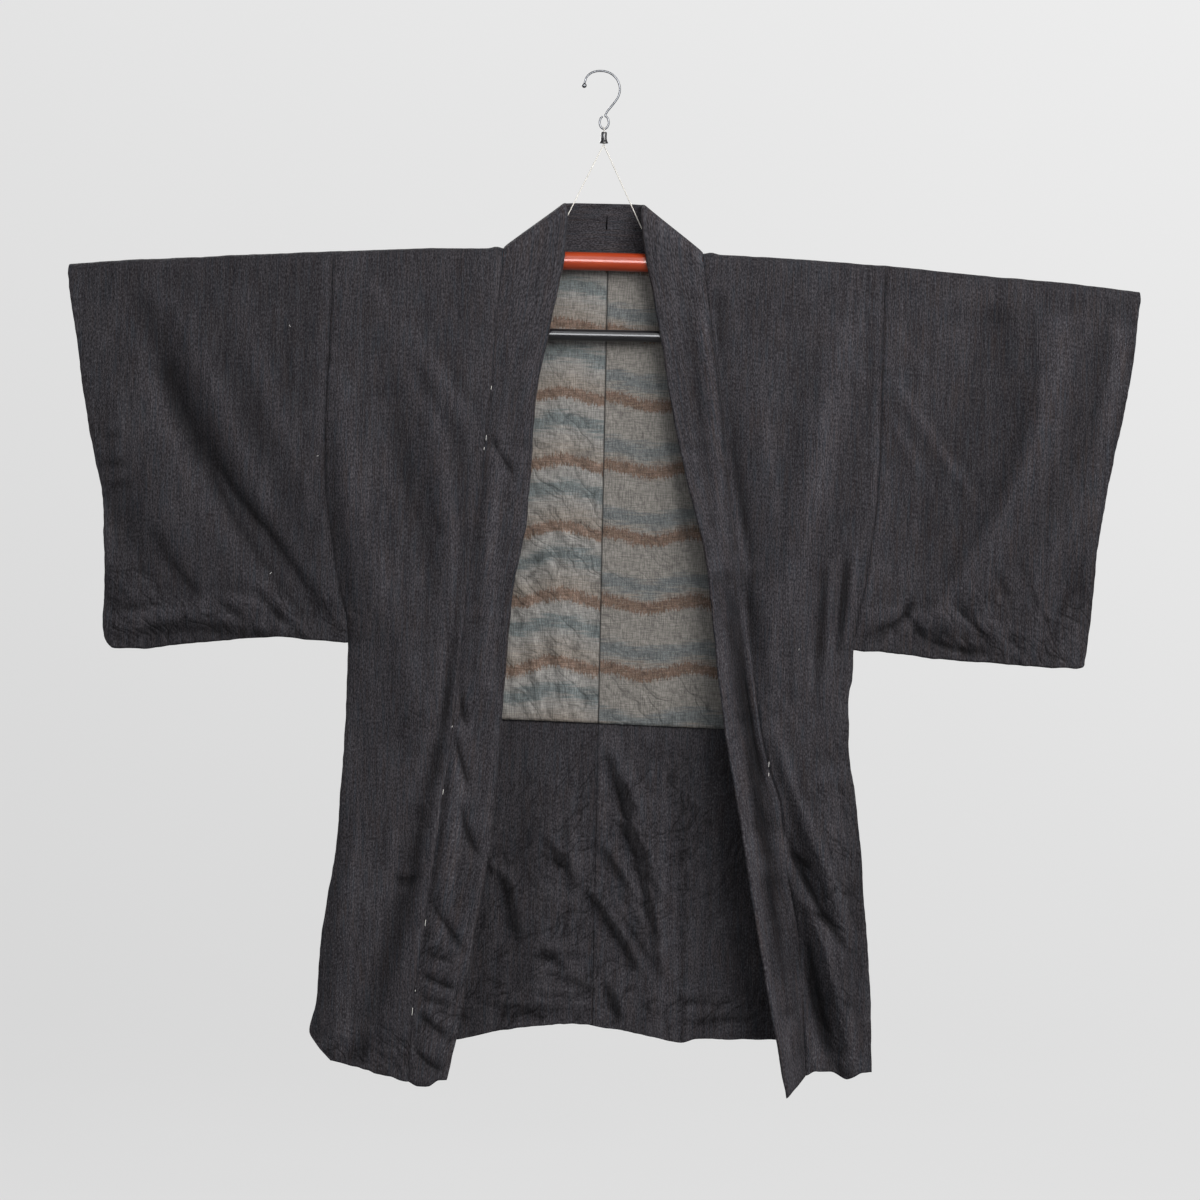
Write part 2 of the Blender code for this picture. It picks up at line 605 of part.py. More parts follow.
def build_string():
    """One string: knotted round the bar, up through the bead and the eye, and down again."""
    around = BAR_RADIUS + 1.5 * SEAM_GAP + STRING / 2
    turn = np.radians(np.linspace(70, 400, 17))  # not quite one turn, so its ends pass
    half = []
    for sign in (-1, 1):
        x = HANGER_CENTRE + sign * (STRING_OUT + np.linspace(0, 3, len(turn)))
        axis = bar_axis(sign * STRING_OUT)
        ring = np.stack([x, sign * around * np.cos(turn), axis - around * np.sin(turn)], axis=1)
        above = [(HANGER_CENTRE + sign * (STRING_OUT - 1.6), sign * 1.6, axis - around - 3.2),
                 (HANGER_CENTRE, sign * 1.0, BEAD_TOP + 15),
                 (HANGER_CENTRE, sign * 1.0, BEAD_TOP + 1),
                 (HANGER_CENTRE, sign * 2.0, BEAD_TOP - 2.6)]
        half.append(np.vstack([ring[::-1], above]))
    wrap = HOOK_WIRE / 2 + SEAM_GAP + STRING / 2
    over = np.radians(np.linspace(180, 0, 6))
    loop = np.stack([np.full(6, HANGER_CENTRE), wrap * np.cos(over),
                     EYE_DEPTH + EYE_HALF_HEIGHT - wrap * np.sin(over)], axis=1)
    route = np.vstack([half[0], loop, half[1][::-1]])
    return bent_rod("hanger_string", place(*route.T), STRING / 2, 1, "string")


# ---- Blender helpers -----------------------------------------------------------------------------
FINISHES = {  # colour, roughness, metallic
    "jacket_cloth": ((0.041, 0.040, 0.046), 0.85, 0.0),
    "lining_cloth": ((0.50, 0.47, 0.42), 0.6, 0.0),
    "red_lacquer": ((0.55, 0.10, 0.04), 0.25, 0.0),
    "black_plastic": ((0.012, 0.012, 0.015), 0.3, 0.0),
    "steel": ((0.55, 0.55, 0.56), 0.3, 1.0),
    "string": ((0.72, 0.70, 0.65), 0.9, 0.0),
}


def finish(piece, name):
    """Gives the piece a material of its own and puts it with the others."""
    colour, roughness, metallic = FINISHES[name]
    material = bpy.data.materials.new(f"{name}_{piece.name}")
    material.use_nodes = True
    shader = material.node_tree.nodes["Principled BSDF"]
    shader.inputs["Base Color"].default_value = (*colour, 1)
    shader.inputs["Roughness"].default_value = roughness
    shader.inputs["Metallic"].default_value = metallic
    piece.data.materials.append(material)
    for collection in list(piece.users_collection):
        collection.objects.unlink(piece)
    bpy.data.collections["haori_on_hanger"].objects.link(piece)


def add_mesh(name, points, faces, edges=()):
    mesh = bpy.data.meshes.new(name)
    mesh.from_pydata(points, edges, faces)
    mesh.validate()
    piece = bpy.data.objects.new(name, mesh)
    bpy.context.scene.collection.objects.link(piece)
    return piece


def sheet(name, grids, keep, flip, thickness, colour, closed=False, offset=-1):
    """An open surface from grids of x, y and depth, given its wall by Solidify."""
    x, y, depth = np.broadcast_arrays(*grids)
    rows, columns = x.shape
    number = np.arange(rows * columns).reshape(rows, columns)
    if closed:
        number = np.vstack([number, number[:1]])
    corners = [number[:-1, :-1], number[:-1, 1:], number[1:, 1:], number[1:, :-1]]
    faces = np.stack(corners, axis=-1)
    faces = faces[keep] if keep is not None else faces.reshape(-1, 4)
    used, faces = np.unique(faces, return_inverse=True)
    faces = faces.reshape(-1, 4)
    if flip:
        faces = faces[:, ::-1]
    points = place(x, y, depth).reshape(-1, 3)[used]
    piece = add_mesh(name, points.tolist(), faces.tolist())
    wall = piece.modifiers.new("wall", "SOLIDIFY")
    wall.thickness = thickness * MM
    wall.offset = offset
    wall.use_even_offset = True
    piece.data.shade_smooth()
    finish(piece, colour)
    return piece


def bent_rod(name, route, radius, resolution, colour, caps=True):
    """A round rod or wire along a route of points in metres."""
    curve = bpy.data.curves.new(name, "CURVE")
    curve.dimensions = "3D"
    curve.bevel_depth = radius * MM
    curve.bevel_resolution = resolution
    curve.use_fill_caps = caps
    spline = curve.splines.new("POLY")
    spline.points.add(len(route) - 1)
    flat = np.hstack([route, np.ones((len(route), 1))]).ravel()
    spline.points.foreach_set("co", flat.astype(np.float32))
    spline.use_smooth = True
    piece = bpy.data.objects.new(name, curve)
    bpy.context.scene.collection.objects.link(piece)
    finish(piece, colour)
    return piece


def turned(name, profile, steps, colour, ring=False):
    """A profile of (radius, height) rows turned round Z; a ring's profile closes on itself."""
    points = [(radius * MM, 0, height * MM) for radius, height in profile]
    edges = [(k, k + 1) for k in range(len(points) - 1)]
    if ring:
        edges.append((len(points) - 1, 0))
    piece = add_mesh(name, points, (), edges)
    screw = piece.modifiers.new("turn", "SCREW")
    screw.steps = steps
    screw.render_steps = steps
    screw.use_merge_vertices = True
    screw.merge_threshold = 0.00005
    finish(piece, colour)
    return piece


def main():
    for leftover in list(bpy.data.objects):
        bpy.data.objects.remove(leftover)
    bpy.context.scene.collection.children.link(bpy.data.collections.new("haori_on_hanger"))
    build_collar()
    build_hanger_tube()
    build_lower_bar()
    build_hook()
    build_bead()
    build_string()
    for side in SIDES:
        build_body(side)
        build_lining(side)
        build_sleeve(side)
        build_gusset(side)
        build_hanger_arm(side)
        build_bar_link(side)


main()
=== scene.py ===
# %% [markdown]
# # A haori on its kimono hanger
# A haori is a jacket that is worn open over a kimono. It is cut from one narrow bolt of
# cloth: each side is a straight panel that runs from the front hem over the shoulder to the back
# hem, a sleeve is a folded oblong, and one long band makes the collar. So the whole jacket can be
# described by flat outlines and by how far the cloth stands from the middle plane of the hanging
# garment.
#
# Cloth simulation could drape such panels, but it finds folds of its own. This jacket's folds come
# from years of being folded flat and hung up, so they are placed one by one: each piece is a grid of
# points whose height is the sum of chosen folds, small creases and seeded crinkles. Neighbouring
# pieces read the same functions, so their edges meet.

import math
from collections import namedtuple
from functools import partial

import bpy
import numpy as np
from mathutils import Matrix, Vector


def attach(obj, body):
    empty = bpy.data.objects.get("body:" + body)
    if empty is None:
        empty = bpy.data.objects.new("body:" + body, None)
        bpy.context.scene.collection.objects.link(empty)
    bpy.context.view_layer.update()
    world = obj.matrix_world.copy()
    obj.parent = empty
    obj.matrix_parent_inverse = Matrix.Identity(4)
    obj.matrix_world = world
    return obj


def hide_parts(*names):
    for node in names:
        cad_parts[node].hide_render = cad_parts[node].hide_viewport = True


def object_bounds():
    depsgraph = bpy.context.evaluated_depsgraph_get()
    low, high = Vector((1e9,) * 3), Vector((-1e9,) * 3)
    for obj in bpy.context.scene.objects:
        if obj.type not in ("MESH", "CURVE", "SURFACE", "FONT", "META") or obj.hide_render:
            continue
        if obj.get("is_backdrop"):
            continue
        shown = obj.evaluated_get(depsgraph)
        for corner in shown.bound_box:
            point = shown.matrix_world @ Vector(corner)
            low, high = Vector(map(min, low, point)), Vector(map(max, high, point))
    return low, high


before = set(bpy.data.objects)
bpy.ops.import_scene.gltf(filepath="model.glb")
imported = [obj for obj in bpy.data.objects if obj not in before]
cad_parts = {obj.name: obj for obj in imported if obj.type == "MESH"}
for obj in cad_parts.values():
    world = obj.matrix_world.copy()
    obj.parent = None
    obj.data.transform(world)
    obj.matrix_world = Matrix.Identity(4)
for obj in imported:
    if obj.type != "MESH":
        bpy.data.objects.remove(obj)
cad_box = [list(corner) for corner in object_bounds()]
print("nodes in the frame:", len(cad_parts))
print("size of the solids in mm:", [round(1000 * (b - a), 1) for a, b in zip(*cad_box)])

# %% [markdown]
# ## Measures
# A tailor works in millimetres, and so do the tables below. A place on the jacket is x across it,
# with the wearer's left positive, depth down from the hook's top, and y from the front to the back.
# One function turns them into Blender's metres, so no other line has to think about units.

# %% Sizes of the cloth
MM = 0.001
CLOTH = 1.6  # wall of the lined jacket cloth
SEAM_GAP = 0.3
HOOK_WIRE = 2.5  # the hook's wire lies on the origin with its inside
FOLD_REACH = 16.5  # from the bar's axis to the cloth's outer face, front and back
FOLD_RISE = 13.0  # from the bar's axis up to the cloth's outer face
NECK_CENTRE = 6.0  # x of the middle of the neck, a little off the hanger's middle
NECK_OUT = 119.0  # out from the neck's centre to where the collar crosses the shoulder
BACK_SEAM = 12.0  # x of the centre back seam
CUFF_OPENING = 583.0  # depth at which the open part of the cuffs ends


def place(x, y, depth):
    """Points in metres, from x, y and depth in millimetres."""
    x, y, depth = np.broadcast_arrays(x, y, depth)
    return np.stack([x, y, HOOK_WIRE - depth], axis=-1) * MM


print("the hook's top lies at", place(0, 0, 0), "m")

# %% [markdown]
# ## Outlines
# The cut pieces are straight, but years of hanging have pulled their edges a little crooked. Each
# edge is a short table: x by depth where it runs down the jacket, and depth by x where it runs
# across. The two sides differ, so each has a full set of its own.

# %% Edges of the hanging jacket
TOP_LINE = ((-650, 248), (-592, 242), (-472, 234), (-328, 225), (-136, 217), (0, 217.2),
            (128, 218.5), (344, 228), (465, 237.5), (585, 246), (655, 254))
NECK_LINE = ((0, 224), (60, 224.3), (90, 226), (NECK_OUT, 230))  # (out, depth), at the back
BACK_HEM = ((-330, 1157), (-240, 1162), (-152, 1169), (-98, 1157), (-8, 1148), (28, 1152),
            (82, 1161), (118, 1168), (140, 1163), (208, 1163), (350, 1160))
FRONT_HEM = ((-297, 1193), (-277, 1196), (-259, 1200), (-241, 1207), (-223, 1211), (-204, 1214),
             (266, 1198), (281, 1192), (299, 1194), (317, 1201), (335, 1194), (349, 1192))
LINING_HEM = ((-330, 781), (-105, 782), (161, 788), (350, 790))

# Depth of the collar's folded edge by that of its sewn edge, from the shoulder down.
TILT = ((230, 172), (245, 200), (270, 238), (300, 280), (350, 338), (420, 416), (500, 500))
Side = namedtuple("Side", "name sign outer_edge cuff sleeve_hem collar_seam collar_fold "
                          "collar_tilt collar_end collar_lift sleeve_end")
RIGHT = Side(
    name="right",
    sign=-1,
    outer_edge=((225, -316), (463, -322), (600, -307), (693, -290), (792, -291), (882, -295),
                (942, -299), (1003, -308), (1063, -315), (1123, -318), (1157, -325),
                (1177, -313), (1194, -296)),
    cuff=((247, -635), (289, -629), (349, -619), (409, -610), (469, -599), (528, -587),
          (558, -585), (618, -584), (678, -585), (703, -580)),
    sleeve_hem=((-584, 690), (-580, 699), (-572, 706), (-540, 706), (-486, 699), (-432, 693),
                (-360, 688), (-342, 691), (-290, 693)),
    collar_seam=((230, -113), (295, -119), (385, -124), (480, -133), (651, -149), (791, -162),
                 (904, -175), (1025, -189), (1134, -202), (1220, -205)),
    collar_fold=((172, -38), (219, -40), (311, -56), (398, -71), (541, -79), (638, -95),
                 (782, -104), (924, -114), (1043, -132), (1163, -150), (1215, -161)),
    collar_tilt=TILT + ((1100, 1100), (1216, 1212)),
    collar_end=((0, 0), (0.25, 6), (0.5, 7), (0.8, 0), (1, 0)),
    collar_lift=((230, 0), (420, 3), (700, 2), (1000, 4), (1216, 7)),
    sleeve_end=693)
LEFT = Side(
    name="left",
    sign=1,
    outer_edge=((228, 344), (486, 341), (602, 329), (690, 316), (720, 316), (750, 311),
                (810, 313), (870, 322), (929, 329), (989, 334), (1049, 340), (1109, 344),
                (1200, 347)),
    cuff=((254, 651), (292, 647), (323, 644), (383, 636), (443, 624), (503, 613), (563, 605),
          (623, 601), (653, 599), (700, 594)),
    sleeve_hem=((316, 691), (342, 691), (414, 698), (486, 702), (558, 706), (584, 707),
                (592, 705), (596, 697)),
    collar_seam=((230, 126), (304, 137), (362, 147), (416, 155), (468, 160), (636, 183),
                 (689, 191), (787, 206), (834, 217), (877, 231), (947, 239), (1039, 257),
                 (1133, 263), (1200, 268)),
    collar_fold=((172, 50), (211, 55), (241, 61), (312, 76), (417, 95), (498, 114), (586, 137),
                 (697, 151), (789, 163), (889, 182), (963, 195), (1097, 220), (1223, 245)),
    collar_tilt=TILT + ((1000, 1003), (1197, 1223)),
    collar_end=((0, 0), (0.4, 0), (0.7, -1), (1, 0)),
    collar_lift=((230, 0), (480, 5), (640, 12), (800, 22), (1050, 24), (1197, 18)),
    sleeve_end=691)
SIDES = (RIGHT, LEFT)
print("cuff to cuff in mm:", LEFT.cuff[0][1] - RIGHT.cuff[0][1])

# %% [markdown]
# ## From a table to a curve
# Straight lines between the rows would show as corners in the cloth, and an ordinary spline swings
# past its rows. The cubic below takes the harmonic mean of the two neighbouring slopes at each row,
# so it is smooth and never leaves the rows' own range.

# %% Reading a table
def ease(share):
    """0 to 1 with a flat start and a flat end."""
    share = np.clip(share, 0, 1)
    return share * share * (3 - 2 * share)


def mix(start, end, share):
    """The start at a share of 0, the end at 1, and even steps between."""
    return start + (end - start) * share


def hermite(keys, values, slopes, at):
    """The cubic that passes through every (key, value) with the given slope there."""
    at = np.clip(at, keys[0], keys[-1])
    row = np.clip(np.searchsorted(keys, at, side="right") - 1, 0, len(keys) - 2)
    step = keys[row + 1] - keys[row]
    t = (at - keys[row]) / step
    rise = values[row + 1] - values[row]
    straight = values[row] + rise * t * t * (3 - 2 * t)
    bend = slopes[row] * (1 - t) - slopes[row + 1] * t
    return straight + step * t * (1 - t) * bend


def read(table, at):
    """A table of two columns as a smooth curve that never swings past its own rows."""
    keys, values = np.array(table, float).T
    rises = np.diff(values) / np.diff(keys)
    product = rises[:-1] * rises[1:]
    total = np.where(product > 0, rises[:-1] + rises[1:], 1)
    inner = np.where(product > 0, 2 * product / total, 0)
    slopes = np.concatenate([rises[:1], inner, rises[-1:]])
    return hermite(keys, values, slopes, np.asarray(at, float))


print("depth of the shoulder at the neck in mm:", read(TOP_LINE, NECK_CENTRE).round(1))

# %% [markdown]
# ## Smooth irregularity
# Old cloth has no quite straight edge and no quite flat stretch. Random numbers at single points
# would look like dirt, so the irregularity is a smooth gradient noise. Its seed is fixed, which gives
# the same jacket on every run.

# %% Noise
LATTICE = 256  # the noise repeats after this many steps
NOISE_GAIN = 1.6  # brings it to between about -1 and 1
EDGE_WAVES = (26, 9)  # mm between the larger and the smaller waves of an edge


def smoother(share):
    """0 to 1 with two flat derivatives at both ends."""
    return share ** 3 * (share * (6 * share - 15) + 10)


def noise(u, v, seed):
    """Gradient noise between about -1 and 1: each whole (u, v) gets a seeded slope, and a point
    adds up the four slopes round it, each weighted by a smooth step of its distance."""
    u, v = np.broadcast_arrays(np.asarray(u, float), np.asarray(v, float))
    angles = np.random.default_rng(seed).uniform(0, 2 * math.pi, (LATTICE, LATTICE))
    column, row = np.floor(u).astype(int), np.floor(v).astype(int)
    total = np.zeros(u.shape)
    for right in (0, 1):
        for down in (0, 1):
            angle = angles[(column + right) % LATTICE, (row + down) % LATTICE]
            du, dv = u - column - right, v - row - down
            weight = smoother(1 - np.abs(du)) * smoother(1 - np.abs(dv))
            total += weight * (np.cos(angle) * du + np.sin(angle) * dv)
    return NOISE_GAIN * total


def ragged(at, size, seed):
    """An outline's small unevenness in mm along a cut or sewn edge."""
    large, small = EDGE_WAVES
    return size * (noise(at / large, 0.5, seed) + 0.5 * noise(at / small, 3.5, seed))


sample = noise(np.linspace(0, 40, 400)[:, None], np.linspace(0, 40, 400), 1)
print("noise runs from", sample.min().round(2), "to", sample.max().round(2))

# %% [markdown]
# ## Edges that two pieces share
# Sleeve and body meet in one seam, and both hang over the same bar. If each piece had its own copy
# of the edge, small gaps would open. Both read these functions instead, unevenness included.

# %% Side seam, shoulder and armhole
SEAM_HUMPS = (-122.0, 136.0)  # x of the humps where the collar's seam crosses the shoulder
HUMP_HEIGHT, HUMP_WIDTH = 2.4, 6.5
SEWN_REACH = 2.1  # outer face to middle where front and back are sewn together


def side_line(side, depth):
    """x of the seam between body and sleeve, and of the body's side edge below it."""
    return read(side.outer_edge, depth) + ragged(depth, 0.7, 60 + side.sign)


def shoulder_line(x):
    """The top of the shoulders, with a small hump where the collar's thick seam crosses each."""
    humps = sum(np.exp(-((x - at) / HUMP_WIDTH) ** 2) for at in SEAM_HUMPS)
    return read(TOP_LINE, x) + ragged(x, 0.5, 64) - HUMP_HEIGHT * humps


def bar_start(x):
    """Depth at which the cloth leaves the bar."""
    return shoulder_line(x) + FOLD_RISE


def armhole_foot(side, x):
    """Depth of the sleeve's lower seam and, inside it, of the armhole's foot."""
    return read(side.sleeve_hem, x) + ragged(x, 0.9, 66) - SEWN_REACH


print("side seam at a depth of 500 mm:", [side_line(s, 500.0).round(1) for s in SIDES])

# %% [markdown]
# ## How far the cloth stands out
# On the hanger the jacket is nearly flat. It is widest over the bar, thin as a hairpin at the
# armholes' feet, and opens again towards the hem, where the side gussets spread. Tables of reach by
# depth hold that slow change, and the folds are added to it.

# %% Reach from the middle plane
FRONT_REACH = ((230, FOLD_REACH), (320, 17), (700, 24), (950, 30), (1220, 34))
BACK_REACH = ((230, FOLD_REACH), (320, 17.5), (700, 20), (1170, 26))
SLEEVE_REACH = ((0, FOLD_REACH), (0.12, 17), (0.5, 15.5), (0.8, 10.5), (1, 3))  # share down
GUSSET_REACH = ((690, 3), (760, 9), (900, 17), (1200, 27))
EDGE_BLEND = 120.0  # how far inward the closed side edge is felt


def edge_reach(side, share, depth):
    """How far the closed side edge stands from the middle: the armhole's hairpin, then the
    gusset that opens towards the hem."""
    return np.where(depth < side.sleeve_end, read(SLEEVE_REACH, share), read(GUSSET_REACH, depth))


def soft_floor(value, low, softness=0.3):
    """The value, kept smoothly above its lowest allowed size."""
    over = value - low
    return low + 0.5 * (over + np.hypot(over, softness))


print("front to back at the hem in mm:", FRONT_REACH[-1][1] + BACK_REACH[-1][1])

# %% [markdown]
# ## Folds as bent lines
# A fold starts somewhere, runs along a curve and fades out. Sculpting would place it freely but leaves
# nothing to read. Here a fold is one row: three points of a bent line, a half width and a height, and
# the cloth's height is a bell round the line. Fine creases use the same row but fall away from a thin
# crest, as paper does.

# %% Height of a set of folds
# x0, depth0, x1, depth1, x2, depth2, width, height. A height above 0 stands away from the body.
Fold = namedtuple("Fold", "x0 depth0 x1 depth1 x2 depth2 width height")
LINE_PIECES = 16  # a fold's bent line is taken as this many straight ones
CREST = 2.2  # radius that rounds a crease's thin crest
FAR = 1e6  # mm, further away than any point


def table(kind, *rows):
    """Rows of plain numbers as rows of that kind, whose numbers have names."""
    return tuple(kind(*row) for row in rows)


def relief(folds, x, depth, thin=False):
    """The sum of the folds at each point, by the distance to each fold's bent line. A broad fold
    falls away as a bell curve; a thin one as an exponential with a rounded crest. Both die out
    towards the ends of the line."""
    x, depth = np.broadcast_arrays(np.asarray(x, float), np.asarray(depth, float))
    total = np.zeros(x.shape)
    t = np.linspace(0, 1, LINE_PIECES + 1)
    for fold in folds:
        line_x = (1 - t) ** 2 * fold.x0 + 2 * t * (1 - t) * fold.x1 + t ** 2 * fold.x2
        line_d = (1 - t) ** 2 * fold.depth0 + 2 * t * (1 - t) * fold.depth1 + t ** 2 * fold.depth2
        reach = fold.width * (5 if thin else 3)  # nothing to speak of is left beyond it
        near = ((x > line_x.min() - reach) & (x < line_x.max() + reach)
                & (depth > line_d.min() - reach) & (depth < line_d.max() + reach))
        if not near.any():
            continue
        at_x, at_d = x[near], depth[near]
        away = np.full(at_x.shape, FAR)
        along = np.zeros(at_x.shape)
        for k in range(LINE_PIECES):
            run_x, run_d = line_x[k + 1] - line_x[k], line_d[k + 1] - line_d[k]
            share = ((at_x - line_x[k]) * run_x + (at_d - line_d[k]) * run_d)
            share = np.clip(share / (run_x ** 2 + run_d ** 2), 0, 1)
            gap = np.hypot(at_x - line_x[k] - share * run_x, at_d - line_d[k] - share * run_d)
            closer = gap < away
            away = np.where(closer, gap, away)
            along = np.where(closer, (k + share) / LINE_PIECES, along)
        if thin:
            strength = np.sin(np.pi * np.clip(along, 0.02, 0.98)) ** 0.6
            fall = np.exp((CREST - np.hypot(away, CREST)) / fold.width)
            total[near] += fold.height * strength * fall
        else:
            strength = 0.35 + 0.65 * np.sin(np.pi * along)
            total[near] += fold.height * strength * np.exp(-(away / fold.width) ** 2)
    return total


print("height on a fold's line:", relief([Fold(0, 0, 0, 50, 0, 100, 9, 2)], 0, [2, 50, 98]).round(2))

# %% [markdown]
# ## The broad folds
# These are what the eye reads first: long slanting troughs from each shoulder to the armhole's foot,
# where the weight of the sleeve pulls, and upright waves in both fronts. They stand on the solids'
# form too, only lower there.

# %% Tables of broad folds
FRONT_FOLDS = table(Fold,
    (-560, 262, -516, 350, -480, 470, 18, -3),  # right sleeve, the long slanting trough
    (-512, 380, -462, 500, -326, 668, 20, -7.5),
    (-600, 330, -550, 500, -440, 640, 38, 3.6),
    (-500, 290, -456, 400, -396, 530, 20, 3.5),
    (-430, 280, -388, 410, -335, 530, 22, 3.5),
    (-500, 650, -430, 643, -366, 655, 12, 3),
    (-303, 400, -275, 560, -206, 760, 26, 6),  # right front
    (-322, 430, -306, 560, -256, 760, 30, 4.5),
    (-262, 270, -236, 350, -200, 420, 15, 1.5),
    (-222, 320, -182, 384, -140, 446, 14, 3),
    (-244, 400, -226, 490, -190, 620, 18, -3.5),
    (-192, 410, -176, 500, -160, 640, 16, 4),
    (-148, 560, -158, 720, -178, 880, 11, -4.5),
    (-326, 950, -334, 1060, -334, 1180, 17, -12),
    (-300, 690, -304, 850, -322, 1010, 15, -9),
    (-158, 690, -166, 770, -184, 860, 10, -5),
    (-183, 830, -212, 990, -264, 1185, 17, -8),
    (-276, 880, -285, 1050, -290, 1190, 24, 5),
    (486, 262, 456, 440, 380, 620, 44, -8),  # left sleeve, the hollow before its ridge
    (556, 300, 552, 480, 440, 640, 30, 7.5),
    (628, 290, 620, 380, 598, 470, 13, 2.5),
    (330, 646, 430, 650, 530, 668, 15, 3.4),
    (295, 320, 284, 425, 222, 700, 32, 9),  # left front
    (166, 590, 184, 650, 204, 770, 18, -9),
    (244, 960, 248, 1060, 260, 1195, 10, -8),
    (238, 975, 266, 1060, 304, 1200, 13, -15),
    (262, 985, 296, 1072, 332, 1190, 12, 6),
    (212, 755, 250, 880, 322, 1036, 11, 6),
    (286, 850, 296, 960, 304, 1170, 26, 12.5),
    (280, 600, 276, 670, 272, 760, 8, -2.5),
)
BACK_FOLDS = table(Fold,
    (90, 840, 98, 1000, 104, 1165, 20, 4),
    (-60, 850, -70, 980, -75, 1160, 30, -3),
    (-200, 320, -190, 700, -230, 1150, 45, 6),
    (230, 330, 215, 700, 250, 1150, 45, 6),
    (-480, 300, -470, 480, -400, 640, 34, 5),
    (490, 300, 480, 480, 420, 640, 34, 5),
)
BOTH_FOLDS = table(Fold,
    (-570, 672, -480, 660, -350, 676, 14, 4),
    (430, 640, 470, 668, 520, 694, 13, 4),
    (-585, 500, -560, 580, -500, 640, 24, -4),
    (600, 480, 570, 560, 520, 620, 28, 3),
)
FOLD_GAIN = 1.8  # the cloth's folds stand this much deeper than the solids'
print("broad folds in front, behind and in both:", len(FRONT_FOLDS), len(BACK_FOLDS), len(BOTH_FOLDS))

# %% [markdown]
# ## The thin creases
# Where the cloth was folded away it keeps sharp lines, and beside the collar the front is pinched
# into deep, narrow valleys. They are too thin for the solids and too clear for bump, so they are real
# height in the cloth's grid.

# %% Tables of thin creases
FRONT_CREASES = table(Fold,
    (-452, 470, -420, 560, -318, 668, 9, -2),  # right sleeve
    (-530, 556, -508, 604, -462, 648, 9, -4.5),
    (-545, 690, -476, 662, -398, 692, 4.5, -6),
    (-420, 520, -380, 580, -318, 664, 6, -4),
    (-590, 450, -576, 456, -562, 448, 4, -1.6),
    (-592, 486, -572, 482, -556, 488, 4, -1.6),
    (-584, 520, -568, 506, -552, 512, 4, -1.6),
    (-574, 662, -550, 652, -524, 660, 4, -2.4),
    (-458, 643, -430, 650, -402, 682, 5, -4),
    (-400, 626, -382, 662, -338, 691, 5, -5),
    (-350, 638, -327, 659, -296, 690, 5, -4),
    (-302, 590, -300, 650, -296, 692, 6, -4),
    (-420, 612, -376, 640, -344, 684, 8, 4),
    (-600, 440, -590, 520, -560, 600, 8, -2),
    (-190, 540, -181, 555, -174, 566, 7, -2.5),  # right front
    (-296, 246, -272, 262, -250, 292, 7, 2),
    (-228, 966, -213, 990, -197, 964, 3.5, -3),
    (-230, 880, -250, 930, -236, 960, 5, -1.5),
    (-300, 1010, -270, 1075, -256, 1150, 10, 2),
    (545, 290, 543, 484, 402, 654, 14, 8.5),  # left sleeve, its long ridge
    (348, 350, 398, 429, 466, 514, 7, 4),
    (346, 396, 370, 438, 400, 486, 6, 2.8),
    (352, 300, 372, 322, 400, 360, 6, 1.4),
    (384, 628, 384, 652, 316, 688, 5, -7),
    (438, 634, 462, 664, 508, 696, 5, -10),
    (376, 638, 386, 654, 402, 680, 4, -4),
    (420, 672, 432, 680, 446, 694, 4, 3),
    (412, 640, 430, 664, 458, 690, 5, 4),
    (410, 676, 440, 690, 478, 690, 4, -4),
    (478, 650, 500, 668, 524, 694, 5, -4),
    (446, 606, 474, 634, 500, 676, 6, 4),
    (480, 588, 498, 612, 506, 642, 4, -2.5),
    (514, 580, 526, 606, 534, 640, 4, -2),
    (556, 690, 560, 620, 590, 606, 6, -2),
    (364, 690, 352, 660, 376, 640, 5, 3),
    (139, 250, 154, 430, 194, 602, 11, -15),  # left front, beside the collar
    (182, 590, 190, 660, 206, 790, 7, -16),
    (194, 736, 210, 895, 304, 1036, 6, -14),
    (238, 934, 255, 940, 272, 953, 4, -4.5),
    (252, 1004, 290, 996, 309, 1042, 4.5, -4.5),
    (214, 728, 236, 756, 256, 792, 5, 2.2),
    (204, 746, 212, 768, 224, 766, 3.5, -3),
    (307, 575, 303, 640, 299, 696, 7, -7),
    (318, 560, 313, 630, 304, 696, 6, 5),
    (326, 570, 320, 640, 312, 694, 5, -3),
    (293, 570, 285, 650, 290, 715, 8, 5.5),
    (330, 462, 338, 482, 346, 500, 4, -2),
    (306, 343, 322, 360, 336, 384, 4, 1.6),
    (298, 248, 330, 276, 346, 302, 5, 1.5),
    (196, 380, 214, 470, 222, 560, 10, 2),
    (236, 640, 236, 700, 244, 760, 8, -2),
)
